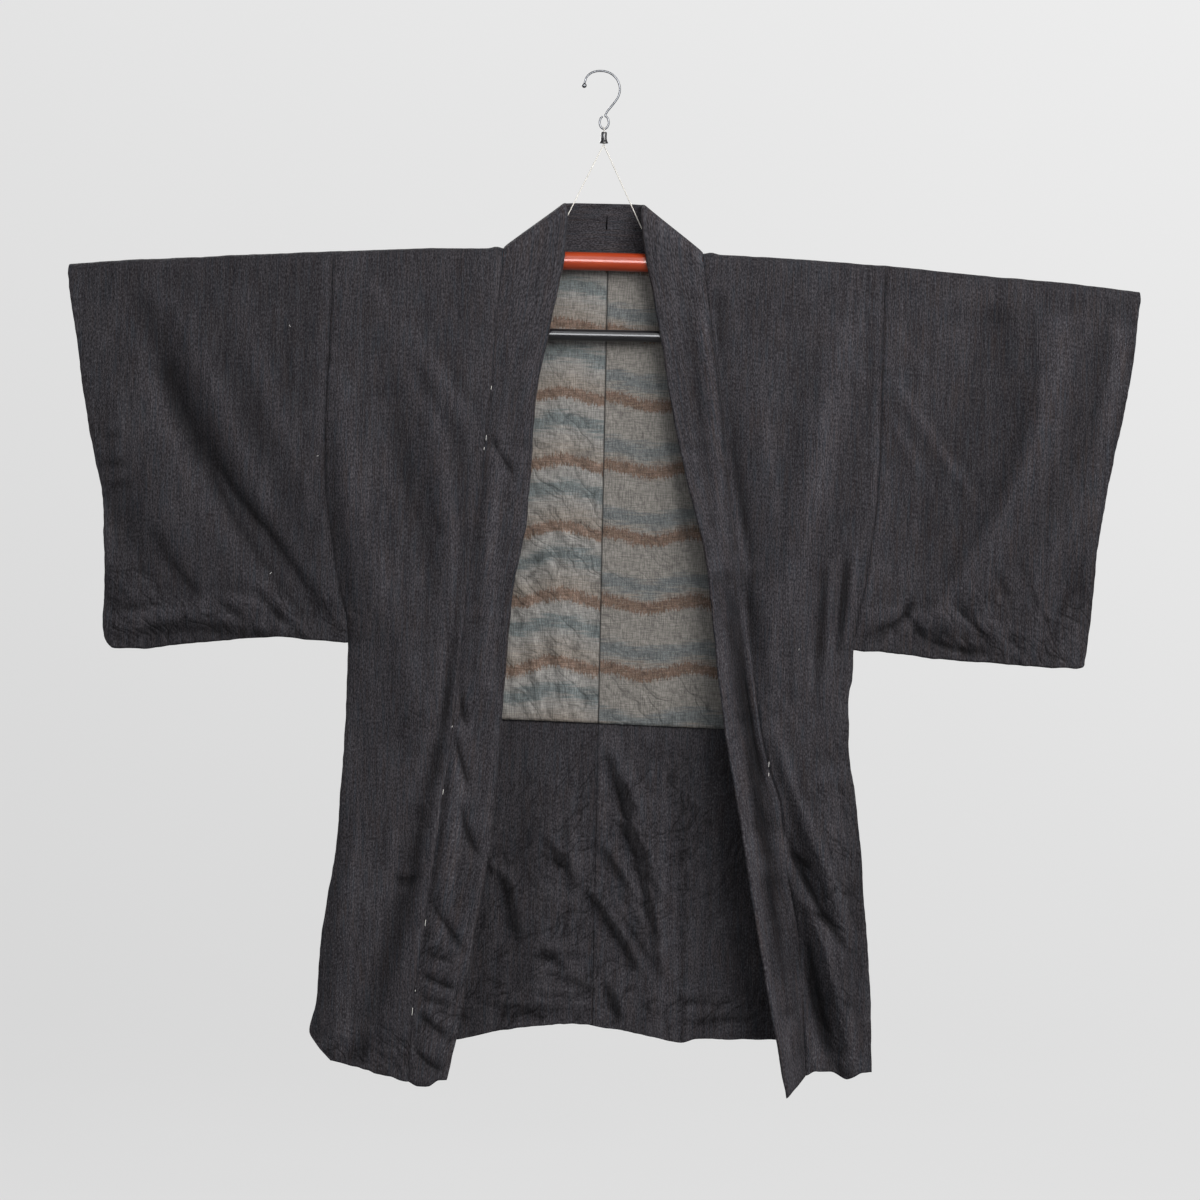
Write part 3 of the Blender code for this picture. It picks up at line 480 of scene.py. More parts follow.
BACK_CREASES = table(Fold,
    (20, 812, 50, 880, 62, 954, 5, -6.8),
    (62, 938, 76, 1000, 93, 1060, 5, -6.8),
    (-2, 982, 36, 1022, 68, 1086, 4.5, -6.8),
    (-52, 922, -28, 944, -13, 978, 4, -5.2),
    (-94, 972, -88, 1010, -78, 1048, 4, -4.5),
    (-120, 956, -100, 968, -86, 992, 4, -3.9),
    (26, 1094, 38, 1116, 47, 1144, 4, -5.1),
    (-54, 1056, -36, 1066, -16, 1084, 4, -3.9),
    (30, 896, 52, 918, 84, 950, 4, -4.2),
    (14, 926, 40, 960, 72, 1012, 4, -4.2),
    (34, 996, 60, 1034, 90, 1082, 4, -4.2),
    (-70, 1110, -20, 1118, 22, 1106, 3.5, -2),
    (-122, 1122, -60, 1130, -8, 1124, 3.5, -2),
    (40, 850, 50, 872, 62, 892, 3.5, -4),
    (56, 928, 72, 950, 92, 976, 3.5, -4),
    (62, 952, 84, 976, 104, 1004, 3.5, -4),
    (44, 984, 58, 1010, 76, 1040, 3.5, -4),
    (78, 1036, 90, 1066, 100, 1100, 3.5, -3.5),
    (-26, 896, -24, 930, -20, 962, 4, -3),
    (-58, 938, -40, 952, -20, 958, 3.5, -3),
    (-64, 1066, -30, 1060, 10, 1064, 3.5, -2.6),
    (-48, 1082, -14, 1092, 20, 1108, 3.5, -2.6),
    (-100, 1140, -60, 1128, -20, 1132, 3.5, -2.6),
    (100, 1120, 140, 1112, 180, 1120, 4, -2.2),
    (120, 1142, 160, 1134, 200, 1138, 4, -2.2),
    (-200, 420, -160, 600, -150, 760, 14, 3),
    (230, 420, 200, 600, 190, 760, 14, 3),
)
print("thin creases:", len(FRONT_CREASES), "in front and", len(BACK_CREASES), "behind")

# %% [markdown]
# ## Crumpled fields
# Around the lower back, the sleeves' feet and the hems there are dozens of small creases with no place
# worth naming. A noise that is stretched along one direction and warped gives them: its zero lines are
# drawn as thin ridges, inside an oval that fades out. A finer field of the same slant is left to the
# material, and each point carries how strongly it shows there.

# %% Patches of small creases
# x, depth, reach_x, reach_depth, angle of the creases in degrees, spacing, length, height, seed
Patch = namedtuple("Patch", "x depth reach_x reach_depth angle spacing length height seed")
SHARED_PATCHES = table(Patch,
    (-540, 645, 60, 50, 12, 13, 46, 1.2, 11),
    (-430, 676, 120, 26, 28, 14, 44, 1.4, 12),
    (470, 660, 95, 38, 35, 15, 44, 1.8, 13),
    (560, 660, 50, 50, 60, 13, 40, 1.3, 14),
)
FRONT_PATCHES = table(Patch,
    (-250, 1170, 60, 26, 20, 12, 34, 1.0, 21),
    (-230, 1186, 90, 24, 70, 12, 26, 1.0, 22),
    (296, 1040, 40, 140, 50, 14, 40, 1.4, 23),
    (300, 860, 30, 120, 65, 15, 50, 0.8, 24),
    (-340, 660, 60, 34, 40, 12, 34, 1.4, 25),
    (-180, 800, 60, 180, 75, 15, 60, 0.5, 26),
)
BACK_PATCHES = table(Patch,
    (60, 930, 120, 120, 52, 13, 56, 2.0, 31),
    (-50, 990, 90, 110, 40, 14, 46, 1.7, 32),
    (20, 1128, 220, 30, 4, 10, 52, 2.4, 33),
    (290, 1000, 70, 160, 48, 15, 50, 1.6, 34),
    (-260, 1000, 80, 160, 48, 15, 50, 1.6, 35),
)
CRUMPLES = (("crumple_right", -48), ("crumple_left", 35))  # the material's fields and their angles
FULL_PATCH = 1.6  # a patch counts there for its height in mm, up to this


def crinkles(patches, x, depth):
    """Fields of small creases. In each patch the cloth crumples along one direction: the height is
    high on the thin lines where a stretched and warped noise crosses zero."""
    total = np.zeros(np.broadcast(x, depth).shape)
    for patch in patches:
        dx, dd = x - patch.x, depth - patch.depth
        near = np.exp(-(dx / patch.reach_x) ** 2 - (dd / patch.reach_depth) ** 2)
        turn = math.radians(patch.angle)
        along = (dx * math.cos(turn) + dd * math.sin(turn)) / patch.length
        across = (dd * math.cos(turn) - dx * math.sin(turn)) / patch.spacing
        warp = 0.55 * noise(along * 1.3, across / 3, patch.seed + 50)
        lines = 1 - 2.6 * np.abs(noise(along, across + warp, patch.seed))
        swell = 0.65 + 0.6 * noise(along * 0.8, across / 4, patch.seed + 90)
        total += patch.height * near * swell * (np.clip(lines, 0, 1) ** 1.5 - 0.35)
    return total


def crumple_masks(front_patches, back_patches, x, y, depth):
    """How strongly each of the two fields of thin creases shows: the falloff of the patches of a
    point's own face, shared by their direction."""
    masks = [np.zeros(x.shape) for _ in CRUMPLES]
    for patches, facing in ((front_patches, y < 0), (back_patches, y >= 0)):
        for patch in patches:
            near = np.exp(-((x - patch.x) / patch.reach_x) ** 2
                          - ((depth - patch.depth) / patch.reach_depth) ** 2)
            masks[0 if patch.angle > 0 else 1] += facing * near * min(patch.height, FULL_PATCH)
    return [np.clip(mask, 0, 1) for mask in masks]


print("patches of crumpled cloth:", len(SHARED_PATCHES + FRONT_PATCHES + BACK_PATCHES))

# %% [markdown]
# ## What the sewing does to the cloth
# A seam lies in a small valley, draws up short wrinkles at right angles to it, and holds a fold down
# where the fold crosses it. All three are functions of the distance from the seam.

# %% Seams, puckers and slight waves
SEAM_REST = 0.42  # share of a fold's height that is left at a seam
SEAM_HOLD = 26.0  # distance from a seam over which the fold grows to its full height
DITCH = (1.7, 2.2)  # depth and half width of the valley along a seam


def pucker(away, along, height, reach, spacing, seed):
    """Short wrinkles that a sewn edge draws up, at right angles to it, within its reach."""
    lines = noise(along / spacing + 0.35 * noise(away / 9, along / 30, seed + 7), away / 26, seed)
    strength = 0.7 + 0.9 * noise(along / 60, 1.5, seed + 3)
    return height * np.exp(-(away / reach) ** 2) * lines * np.clip(strength, 0.1, 1.6)


def ditch(distance):
    """Depth of the valley along a seam."""
    return DITCH[0] * np.exp(-(distance / DITCH[1]) ** 2)


def beside_seam(distance):
    """Share of the folds' height that a seam leaves at this distance from it."""
    return mix(SEAM_REST, 1, ease(np.abs(distance) / SEAM_HOLD))


def unevenness(x, depth, seed):
    """The slight waves of any hanging cloth: broad upright ones, and smaller ones across them."""
    broad = noise(x / 46, depth / 150, seed) + 0.6 * noise(x / 110, depth / 90, seed + 1)
    small = noise(x / 17, depth / 60, seed + 2)
    return 0.5 * broad + 0.25 * small


print("a fold's share at 0, 13 and 26 mm from a seam:", beside_seam(np.array([0, 13, 26])).round(2))

# %% [markdown]
# ## One face of the jacket
# The cloth's height is the reach of the flat garment, closed towards the side seam, plus the folds
# as far as they have grown below the shoulder, plus what the seams and the hem add. Front and back
# share some folds, because a pull bends both layers.

# %% The cloth's outer face
FOLD_FADE = 45.0  # folds grow from nothing over this depth below the shoulder


def cloth_face(side, x, depth, reach, grown, front, extra):
    """y of the outer face at a given reach, with folds, creases and crinkles as far as they grow."""
    from_seam = x - side_line(side, depth)
    grown = grown * beside_seam(from_seam)
    middle = -(FOLD_GAIN * relief(BOTH_FOLDS, x, depth) + crinkles(SHARED_PATCHES, x, depth)) * grown
    own = FOLD_GAIN * relief(FRONT_FOLDS if front else BACK_FOLDS, x, depth)
    own = own + relief(FRONT_CREASES if front else BACK_CREASES, x, depth, thin=True)
    own = own + crinkles(FRONT_PATCHES if front else BACK_PATCHES, x, depth)
    own = own + unevenness(x, depth, 81 if front else 85)
    above_foot = ease((side.sleeve_end + 12 - depth) / 12)
    sewn = pucker(from_seam, depth, 0.7, 12, 14, 75) - ditch(from_seam)
    reach = soft_floor(reach + own * grown + extra + sewn * above_foot, SEWN_REACH)
    return middle - reach if front else middle + reach


def body_surface(side, x, depth, front):
    """y of the body's outer face at the front or the back."""
    outer = side_line(side, depth)
    start = bar_start(outer)
    share = (depth - start) / (side.sleeve_end - start)
    closing = ease(1 - np.abs(outer - x) / EDGE_BLEND)
    reach = mix(read(FRONT_REACH if front else BACK_REACH, depth),
                edge_reach(side, share, depth), closing)
    grown = ease((depth - start) / FOLD_FADE)
    hem = read(FRONT_HEM if front else BACK_HEM, x)
    extra = pucker(hem - depth, x, 1.3, 22, 8, 71 if front else 72)
    if front:
        from_collar = x - read(side.collar_seam, depth)
        grown = grown * beside_seam(from_collar)
        extra = extra + pucker(from_collar, depth, 0.5, 9, 17, 73) - ditch(from_collar)
    else:
        extra = extra + pucker(x - BACK_SEAM, depth, 0.5, 10, 10, 74) - ditch(x - BACK_SEAM) / 2
    return cloth_face(side, x, depth, reach, grown, front, extra)


print("reach of the left front at a depth of 900 mm:",
      body_surface(LEFT, np.array([240.0, 290.0]), 900.0, front=True).round(1))

# %% [markdown]
# ## Rows and columns
# At a seam the valley is only a few millimetres wide, so the columns draw together at both edges of
# every panel. Front and back share their rows, so the side edges of both meet row by row.

# %% Steps across and down a panel
def fine_ends(count, narrow):
    """0 to 1 in steps that are even but for narrower ones at both ends, given as shares."""
    narrow = np.array(narrow)
    inner = np.linspace(narrow[-1], 1 - narrow[-1], count)
    return np.concatenate([[0], narrow[:-1], inner, 1 - narrow[-2::-1], [1]])


BODY_SHARES = fine_ends(52, (0.005, 0.012, 0.022, 0.036))
ARM_DOWN = fine_ends(126, (0.003, 0.008, 0.014))
LINED_DOWN = np.linspace(0, 1, 27)
UNLINED_DOWN = np.concatenate([np.linspace(0, 0.985, 104), [0.991, 0.996, 1]])
BACK_DOWN = np.concatenate([ARM_DOWN, 1 + LINED_DOWN[1:], 2 + UNLINED_DOWN[1:]])
FRONT_DOWN = np.concatenate([ARM_DOWN, 1 + np.linspace(0, 0.988, len(LINED_DOWN) + 103)[1:],
                             [1.992, 1.996, 2]])
BACK_STEPS = len(BACK_DOWN) - 1
ARM_STEPS = len(ARM_DOWN) - 1
assert len(FRONT_DOWN) == len(BACK_DOWN)
print("rows from shoulder to hem:", BACK_STEPS, "| columns across a panel:", len(BODY_SHARES))

# %% [markdown]
# ## Filling a panel
# The side edges are tables of x by depth and the hem is a table of depth by x, so neither can be
# worked out first. Both are worked out in turns: a few rounds settle them to far less than a thread.

# %% A panel's grid
FIRST_DEPTH = 300.0  # where the search for a panel's grid begins
SETTLING_ROUNDS = 5


def between(levels, down):
    """Depth at a place along the levels: 0 is on the first level, 1 on the second, and so on."""
    depth = levels[0]
    for k, (above, below) in enumerate(zip(levels, levels[1:])):
        depth = depth + (below - above) * np.clip(down - k, 0, 1)
    return depth


def fill_panel(inner_edge, outer_edge, shares, down, levels):
    """x and depth of a panel's grid: x lies between two edges that are read by depth, and depth
    between levels that are read by x, so both are worked out in turns."""
    x = mix(inner_edge(FIRST_DEPTH), outer_edge(FIRST_DEPTH), shares)
    x = np.broadcast_to(x, (len(down), len(shares)))
    for _ in range(SETTLING_ROUNDS):
        depth = between([level(x) for level in levels], down)
        x = mix(inner_edge(depth), outer_edge(depth), shares)
    return x, depth


def path_length(x, y, depth):
    """Distance in mm travelled down each column from the first row."""
    run = np.sqrt(np.diff(x, axis=0) ** 2 + np.diff(y, axis=0) ** 2 + np.diff(depth, axis=0) ** 2)
    return np.vstack([np.zeros((1, x.shape[1])), np.cumsum(run, axis=0)])


print("halfway from 0 to 100, and from 100 to 300:", between([0, 100, 300], np.array([0.5, 1.5])))

# %% [markdown]
# ## Over the bar
# The cloth has no shoulder seam: it turns over the bar in a half circle, flattened a little by its
# own weight. The turn is a separate block of rows between the back's rows and the front's.

# %% The turn over the shoulder
FOLD_STEPS = 16


def over_the_bar(x, back_y, front_y):
    """The rows of cloth in the half turn over the bar at the given x of each column, between the
    last row of the back and the first of the front, whose y are given."""
    angle = np.linspace(0, math.pi, FOLD_STEPS + 1)[1:-1, None]
    x = np.broadcast_to(x, (len(angle), np.shape(x)[-1]))
    y = np.where(np.cos(angle) > 0, back_y, -front_y) * np.cos(angle)
    return x, y, shoulder_line(x) + FOLD_RISE * (1 - np.sin(angle))


print("rows in the turn:", FOLD_STEPS - 1)

# %% [markdown]
# ## Hollows
# The render finds the shadows in a crease by itself, but the cloth's colour also gets painted shade in
# its creases and painted light on its crests, so each point carries how far it lies below the cloth
# round it.

# %% How hollow the cloth is at each point
WINDOW = 4  # points on each side that the mean takes in


def hollow(height):
    """How far each point lies below the mean of its neighbourhood, in mm: above 0 in a crease and
    below 0 on a crest. The mean is a moving one, first down the columns and then along the rows."""
    mean = height
    for axis in (0, 1):
        wide = np.pad(mean, [(WINDOW, WINDOW) if axis == k else (0, 0) for k in (0, 1)], mode="edge")
        count = 2 * WINDOW + 1
        mean = sum(np.take(wide, np.arange(height.shape[axis]) + k, axis) for k in range(count)) / count
    return mean - height


print("a ridge and a crease of 2 mm:", hollow(np.array([[0], [2], [-2], [0]]))[1:3, 0])

# %% [markdown]
# ## From a grid to cloth
# The grid becomes a mesh of four-sided faces in one call, with no loop over points. Solidify gives it
# the wall of real cloth, so edges and hems look thick. A UV map named "flat" holds the distances
# travelled across and along the piece in metres: woven threads follow it round every fold, which no
# pattern in space could do.

# %% Mesh and wall
def add_object(name, data):
    """A new object in the scene that holds the data."""
    item = bpy.data.objects.new(name, data)
    bpy.context.scene.collection.objects.link(item)
    return item


def give_wall(piece, thickness):
    """A wall of that many mm on the inner side of the piece's surface."""
    wall = piece.modifiers.new("wall", "SOLIDIFY")
    wall.thickness = thickness * MM
    wall.offset = -1


def add_mesh(name, points, faces, flat, marks):
    """A smooth mesh of four-sided faces, with its flat measures as UV and its marks as attributes."""
    mesh = bpy.data.meshes.new(name)
    mesh.vertices.add(len(points))
    mesh.vertices.foreach_set("co", np.asarray(points, np.float32).ravel())
    mesh.loops.add(faces.size)
    mesh.loops.foreach_set("vertex_index", faces.ravel().astype(np.int32))
    mesh.polygons.add(len(faces))
    mesh.polygons.foreach_set("loop_start", np.arange(0, faces.size, faces.shape[1], dtype=np.int32))
    mesh.update(calc_edges=True)
    mesh.polygons.foreach_set("use_smooth", np.ones(len(faces), bool))
    layer = mesh.uv_layers.new(name="flat")
    layer.data.foreach_set("uv", flat[faces.ravel()].astype(np.float32).ravel())
    for mark, values in marks.items():
        attribute = mesh.attributes.new(mark, "FLOAT", "POINT")
        attribute.data.foreach_set("value", values.astype(np.float32))
    mesh.validate()
    return add_object(name, mesh)


def quads(number):
    """The four-sided faces between the rows and columns of a grid of point numbers."""
    return np.stack([number[:-1, :-1], number[:-1, 1:], number[1:, 1:], number[1:, :-1]], axis=-1)


def sheet_piece(name, grids, keep, flip, thickness, material, uv, closed=False, patches=((), ())):
    """A surface from grids of x, y, depth and hollow, given its wall by Solidify. keep says which
    of its cells exist; closed joins the last row to the first. The cloth's own measures in mm,
    across and along its threads, become its UV map in metres."""
    x, y, depth, low = np.broadcast_arrays(*grids)
    number = np.arange(x.size).reshape(x.shape)
    faces = quads(np.vstack([number, number[:1]]) if closed else number)
    faces = faces.reshape(-1, 4) if keep is None else faces[keep]
    if flip:
        faces = faces[:, ::-1]
    used, faces = np.unique(faces, return_inverse=True)
    faces = faces.reshape(-1, 4)
    points = place(x, y, depth).reshape(-1, 3)[used]
    across, along = np.broadcast_arrays(*uv)
    flat = np.stack([across, along], axis=-1).reshape(-1, 2)[used] * MM
    # the hollow mark drives the painted shade in creases and the painted light on crests
    marks = {"hollow": low.ravel()[used]}
    for (mark, _), mask in zip(CRUMPLES, crumple_masks(*patches, x, y, depth)):
        marks[mark] = mask.ravel()[used]
    piece = add_mesh(name, points, faces, flat, marks)
    give_wall(piece, thickness)
    piece.data.materials.append(material)
    print(f"{name}: {len(points)} points, {4 * len(faces)} triangles with its wall")
    return piece


print("attributes on each piece of cloth:", ["hollow"] + [mark for mark, _ in CRUMPLES])

# %% [markdown]
# ## Adding a node
# A finish is a small tree of shader nodes. Clicking it together would leave nothing to read, so one
# function adds a node of any kind with its settings and its links, and the finishes below are written
# as recipes. Colours are the hex codes that a painter would pick on screen, turned to linear light.

# %% Colours and nodes
def linear(code):
    """An sRGB hex code as linear colour with alpha."""
    values = [int(code[k:k + 2], 16) / 255 for k in (1, 3, 5)]
    return tuple(v / 12.92 if v <= 0.04045 else ((v + 0.055) / 1.055) ** 2.4 for v in values) + (1,)


def add(tree, kind, inputs=(), output=0, stops=(), **settings):
    """One output of a new node of that kind with its settings. Each input, named or in order, is
    another node's output or a value; stops are a colour ramp's rows of place and hex code."""
    node = tree.nodes.new("ShaderNode" + kind)
    for key, value in settings.items():
        setattr(node, key, value)
    for key, value in inputs.items() if isinstance(inputs, dict) else enumerate(inputs):
        if isinstance(value, bpy.types.NodeSocket):
            tree.links.new(value, node.inputs[key])
        else:
            node.inputs[key].default_value = value
    for _ in stops[2:]:
        node.color_ramp.elements.new(0.5)
    for stop, (at, _) in enumerate(stops):
        node.color_ramp.elements[stop].position = at
    for stop, (_, code) in enumerate(stops):
        node.color_ramp.elements[stop].color = linear(code)
    return node.outputs[output]


def new_material(name, **fixed):
    """A material with its node tree and shader; fixed holds the sockets that are the same all
    over the surface, named with _ for a space."""
    material = bpy.data.materials.new(name)
    material.use_nodes = True
    shader = material.node_tree.nodes["Principled BSDF"]
    for key, value in fixed.items():
        shader.inputs[key.replace("_", " ")].default_value = value
    return material, material.node_tree, shader


print("charcoal as linear colour:", [round(part, 4) for part in linear("#38363a")])

# %% [markdown]
# ## Threads
# Woven cloth looks like streaks: a thread is thin and long, and its colour changes slowly along it.
# A noise that is squeezed across the threads and stretched along them gives such streaks in any size
# and never repeats. The real threads are about 0.3 mm apart, finer than a render of a whole jacket
# can show, so the pattern is coarser.

# %% A streaked pattern
def grain(tree, at, across, along, detail=2.0):
    """Noise stretched to that many mm across the threads and along them, about 0.5 on average."""
    scaled = add(tree, "Mapping", {"Vector": at, "Scale": (1000 / across, 1000 / along, 1)})
    inputs = {"Vector": scaled, "Scale": 1, "Detail": detail}
    return add(tree, "TexNoise", inputs, noise_dimensions="2D")


STREAK = 1.4  # mm, the pattern's finest thread
print("in a render 1024 points wide, that is", round(1024 * STREAK / 1440, 1), "wide")

# %% [markdown]
# ## Creases too fine for the mesh
# Crumpled cloth is a mosaic of small facets that meet in sharp lines. Cells of a Voronoi pattern are
# just that, once they are stretched along the pull and warped: each cell is a low ridge, and shade is
# painted into the colour along the thin lines where two cells meet. Two fields run down to the right
# and down to the left, each as strong as its attribute on the mesh says.

# %% Crumples in the material
CRUMPLE_CELLS = ((50, 12, 1.0), (24, 6, 0.35))  # length and width in mm, and share
SWERVE = 45.0  # mm between the turns of the cells' warping
SWERVE_BY = 30.0  # mm from one side of the warping to the other


def creases_in_cloth(tree, at):
    """A height from 0 to 1, and the thin lines between its ridges, along which shade is painted."""
    height, lines = 0.0, 0.0
    for mark, angle in CRUMPLES:
        strength = add(tree, "Attribute", output="Fac", attribute_name=mark)
        slanted = add(tree, "Mapping", {"Vector": at, "Rotation": (0, 0, math.radians(angle))})
        slow = add(tree, "Mapping", {"Vector": slanted, "Scale": (1000 / SWERVE, 1000 / SWERVE, 1)})
        wander = add(tree, "TexNoise", {"Vector": slow, "Scale": 1, "Detail": 2}, output=1,
                     noise_dimensions="2D")
        push = (SWERVE_BY * MM, SWERVE_BY * MM, 0)
        moved = add(tree, "VectorMath", (wander, push, slanted), operation="MULTIPLY_ADD")
        broken = add(tree, "MapRange", (grain(tree, moved, 40, 26, detail=0), 0.42, 0.62))
        for length, width, share in CRUMPLE_CELLS:
            cells = add(tree, "Mapping", {"Vector": moved, "Scale": (1000 / length, 1000 / width, 1)})
            inputs = {"Vector": cells, "Scale": 1}
            middle = add(tree, "TexVoronoi", inputs, "Distance", voronoi_dimensions="2D")
            edge = add(tree, "TexVoronoi", inputs, "Distance", voronoi_dimensions="2D",
                       feature="DISTANCE_TO_EDGE")
            ridge = add(tree, "Math", (middle, -share, share), operation="MULTIPLY_ADD")
            height = add(tree, "Math", (ridge, strength, height), operation="MULTIPLY_ADD")
            thin = add(tree, "Math", (edge, -9.0, 1.0), operation="MULTIPLY_ADD", use_clamp=True)
            thin = add(tree, "Math", (thin, broken), operation="MULTIPLY")
            thin = add(tree, "Math", (thin, share), operation="MULTIPLY")
            lines = add(tree, "Math", (thin, strength, lines), operation="MULTIPLY_ADD")
    return height, lines


print("length and width of the crumples' cells in mm:", [cell[:2] for cell in CRUMPLE_CELLS])

# %% [markdown]
# ## Shade and relief
# Both cloths end in the same way: the dye's tone times a painted shade that darkens in hollows and
# along the crumples' thin lines and lightens on crests, a fine relief from the threads, and on it the
# broader relief of the crumples.

# %% Finishing a cloth
# painted shade: palest on crests, darkest deep in the creases
PAINTED_SHADE_HOLLOW = (-0.83, 2.17)  # mm below the neighbourhood where the shade is palest and darkest


def finish_cloth(tree, shader, at, tone, light, painted_shades, line_shade_share, threads, crumple):
    """Links tone, painted shade and relief to the shader. painted_shades are the palest and the
    darkest painted shade, threads a height with its strength and size in mm, crumple the height of the
    crumples in mm."""
    low = add(tree, "Attribute", output="Fac", attribute_name="hollow")
    ridges, lines = creases_in_cloth(tree, at)
    pale, dark = painted_shades
    # painted shade from the hollow mark: darker in creases, lighter on crests
    shade = add(tree, "MapRange", (low, *PAINTED_SHADE_HOLLOW, pale * light, dark * light))
    # painted shade along the crumples' thin lines
    painted_line_shade = add(tree, "Math", (lines, -line_shade_share, 1.0), operation="MULTIPLY_ADD")
    shade = add(tree, "Math", (shade, painted_line_shade), operation="MULTIPLY")
    shaded = add(tree, "Mix", {0: 1.0, 6: tone, 7: shade}, 2, data_type="RGBA", blend_type="MULTIPLY")
    tree.links.new(shaded, shader.inputs["Base Color"])
    height, strength, size = threads
    fine = add(tree, "Bump", {"Height": height, "Strength": strength, "Distance": size * MM})
    inputs = {"Height": ridges, "Strength": 1.0, "Distance": crumple * MM, "Normal": fine}
    broad = add(tree, "Bump", inputs)
    tree.links.new(broad, shader.inputs["Normal"])


print("shade runs from palest to darkest over", PAINTED_SHADE_HOLLOW, "mm")

# %% [markdown]
# ## The jacket's cloth
# The jacket is charcoal silk, woven from slubbed yarn: thick and thin stretches make short pale and
# dark dashes along the warp. It is matt, with a faint gloss where a thread is thick. A few warm and
# cool threads keep the charcoal from looking like grey paint. Each piece gets its own lightness and
# share of brown: the collar is paler by its weave, and the pieces of the wearer's left, on the
# window's side, are lighter by painted light.

# %% Slubbed silk
SILK_TONES = ((0.34, "#1f1e20"), (0.44, "#2e2c30"), (0.5, "#38363a"), (0.56, "#434145"),
              (0.67, "#57555a"))
WARM_THREAD, COOL_THREAD = "#4a3d37", "#33404a"


def slubbed_silk(name, light, brown):
    """Noises that are long along V and narrow across U, summed by their share of the tone."""
    material, tree, shader = new_material(name, Sheen_Weight=0.05, Sheen_Roughness=0.4,
                                          Specular_IOR_Level=0.045)
    at = add(tree, "UVMap", uv_map="flat")
    threads = grain(tree, at, STREAK, 26)
    dashes = grain(tree, at, 1.35, 3.4, detail=1)
    weft = grain(tree, at, 5, 1.3, detail=1)
    bands = grain(tree, at, 9, 220)
    faded = grain(tree, at, 50, 90)
    mixed = 0.0
    for pattern, share in ((dashes, 0.46), (threads, 0.22), (weft, 0.1), (bands, 0.13), (faded, 0.09)):
        mixed = add(tree, "Math", (pattern, share, mixed), operation="MULTIPLY_ADD")
    tone = add(tree, "ValToRGB", (mixed,), stops=SILK_TONES)
    for size, span, most, code in (((2.2, 60), (0.50, 0.68), 0.34 * brown, WARM_THREAD),
                                   ((2.7, 50), (0.53, 0.70), 0.22, COOL_THREAD)):
        strewn = add(tree, "MapRange", (grain(tree, at, *size), *span, 0, most))
        tone = add(tree, "Mix", {0: strewn, 6: tone, 7: linear(code)}, 2, data_type="RGBA")
    rough = add(tree, "MapRange", (threads, 0.3, 0.7, 0.86, 0.66))
    tree.links.new(rough, shader.inputs["Roughness"])
    height = 0.0
    for pattern, share in ((threads, 0.6), (dashes, 0.6), (grain(tree, at, 0.7, 0.9, detail=0), 0.35)):
        height = add(tree, "Math", (pattern, share, height), operation="MULTIPLY_ADD")
    finish_cloth(tree, shader, at, tone, light, (1.25, 0.35), 0.5, (height, 0.5, 0.8), 1.9)
    return material


# light per piece: the collar's paler weave, and painted light on the wearer's left pieces, which face
# the window
SILK = {cut: slubbed_silk(f"slubbed_silk_{cut}", light, brown) for cut, light, brown in (
    ("body_right", 0.66, 0.5), ("body_left", 0.7, 0.5), ("sleeve_right", 0.58, 0.4),
    ("sleeve_left", 0.67, 0.7), ("gusset", 0.6, 0.5), ("collar", 0.75, 0.6))}
print("jacket cloths:", ", ".join(SILK))

# %% [markdown]
# ## The body panels
# Each panel is one length of cloth from the back hem over the shoulder to the front hem, with a
# narrow strip of extra columns behind the neck that the front doesn't have. It is built first, because
# collar, gussets and lining take their edges from its points.

# %% Grid of a body panel
NECK_COLUMNS = 30


def body_grid(side):
    """x, y, depth and hollow of a body panel, and which of its cells exist.

    Rows run from the back hem up, over the bar and down to the front hem. The first columns
    lie behind the neck and exist only on the back."""
    neck = NECK_CENTRE + side.sign * NECK_OUT
    shares = BODY_SHARES
    outer_edge = partial(side_line, side)
    foot = partial(armhole_foot, side)
    below_foot = (foot, partial(read, LINING_HEM), lambda x: read(BACK_HEM, x) + ragged(x, 1.1, 67))

    down = BACK_DOWN[::-1, None]
    behind = mix(BACK_SEAM, neck, fine_ends(NECK_COLUMNS - 5, (0.01, 0.022, 0.04))[:-1])
    neck_x = np.broadcast_to(behind, (len(down), len(behind)))
    neck_line = read(NECK_LINE, np.abs(neck_x - NECK_CENTRE))
    neck_depth = between([neck_line] + [level(neck_x) for level in below_foot], down)
    x, depth = fill_panel(lambda at: neck + 0 * np.asarray(at), outer_edge, shares, down,
                          (bar_start,) + below_foot)
    back_x = np.hstack([neck_x, x])
    back_depth = np.hstack([neck_depth, depth])
    back_y = body_surface(side, back_x, back_depth, front=False)

    down = FRONT_DOWN[:, None]
    front_x, front_depth = fill_panel(
        partial(read, side.collar_seam), outer_edge, shares, down,
        (bar_start, foot, lambda x: read(FRONT_HEM, x) + ragged(x, 1.3, 68)))
    front_y = body_surface(side, front_x, front_depth, front=True)
    columns = len(behind)
    turn = over_the_bar(mix(x[-1], front_x[0], 0.5), back_y[-1, columns:], front_y[0])

    def with_neck(part):
        """Fills the columns behind the neck, whose cells are left out there."""
        return np.hstack([np.repeat(part[:, :1], columns, axis=1), part])

    fronts = (front_x, front_y, front_depth, hollow(-front_y))
    turns = turn + (0 * turn[0],)
    backs = (back_x, back_y, back_depth, hollow(back_y))
    grids = [np.vstack([back, with_neck(over), with_neck(front)])
             for back, over, front in zip(backs, turns, fronts)]
    keep = np.ones((grids[0].shape[0] - 1, grids[0].shape[1] - 1), bool)
    keep[BACK_STEPS:, :columns] = False
    return grids, keep, columns


BODY = {side.name: body_grid(side) for side in SIDES}
print("points in a panel's grid:", BODY["left"][0][0].shape)

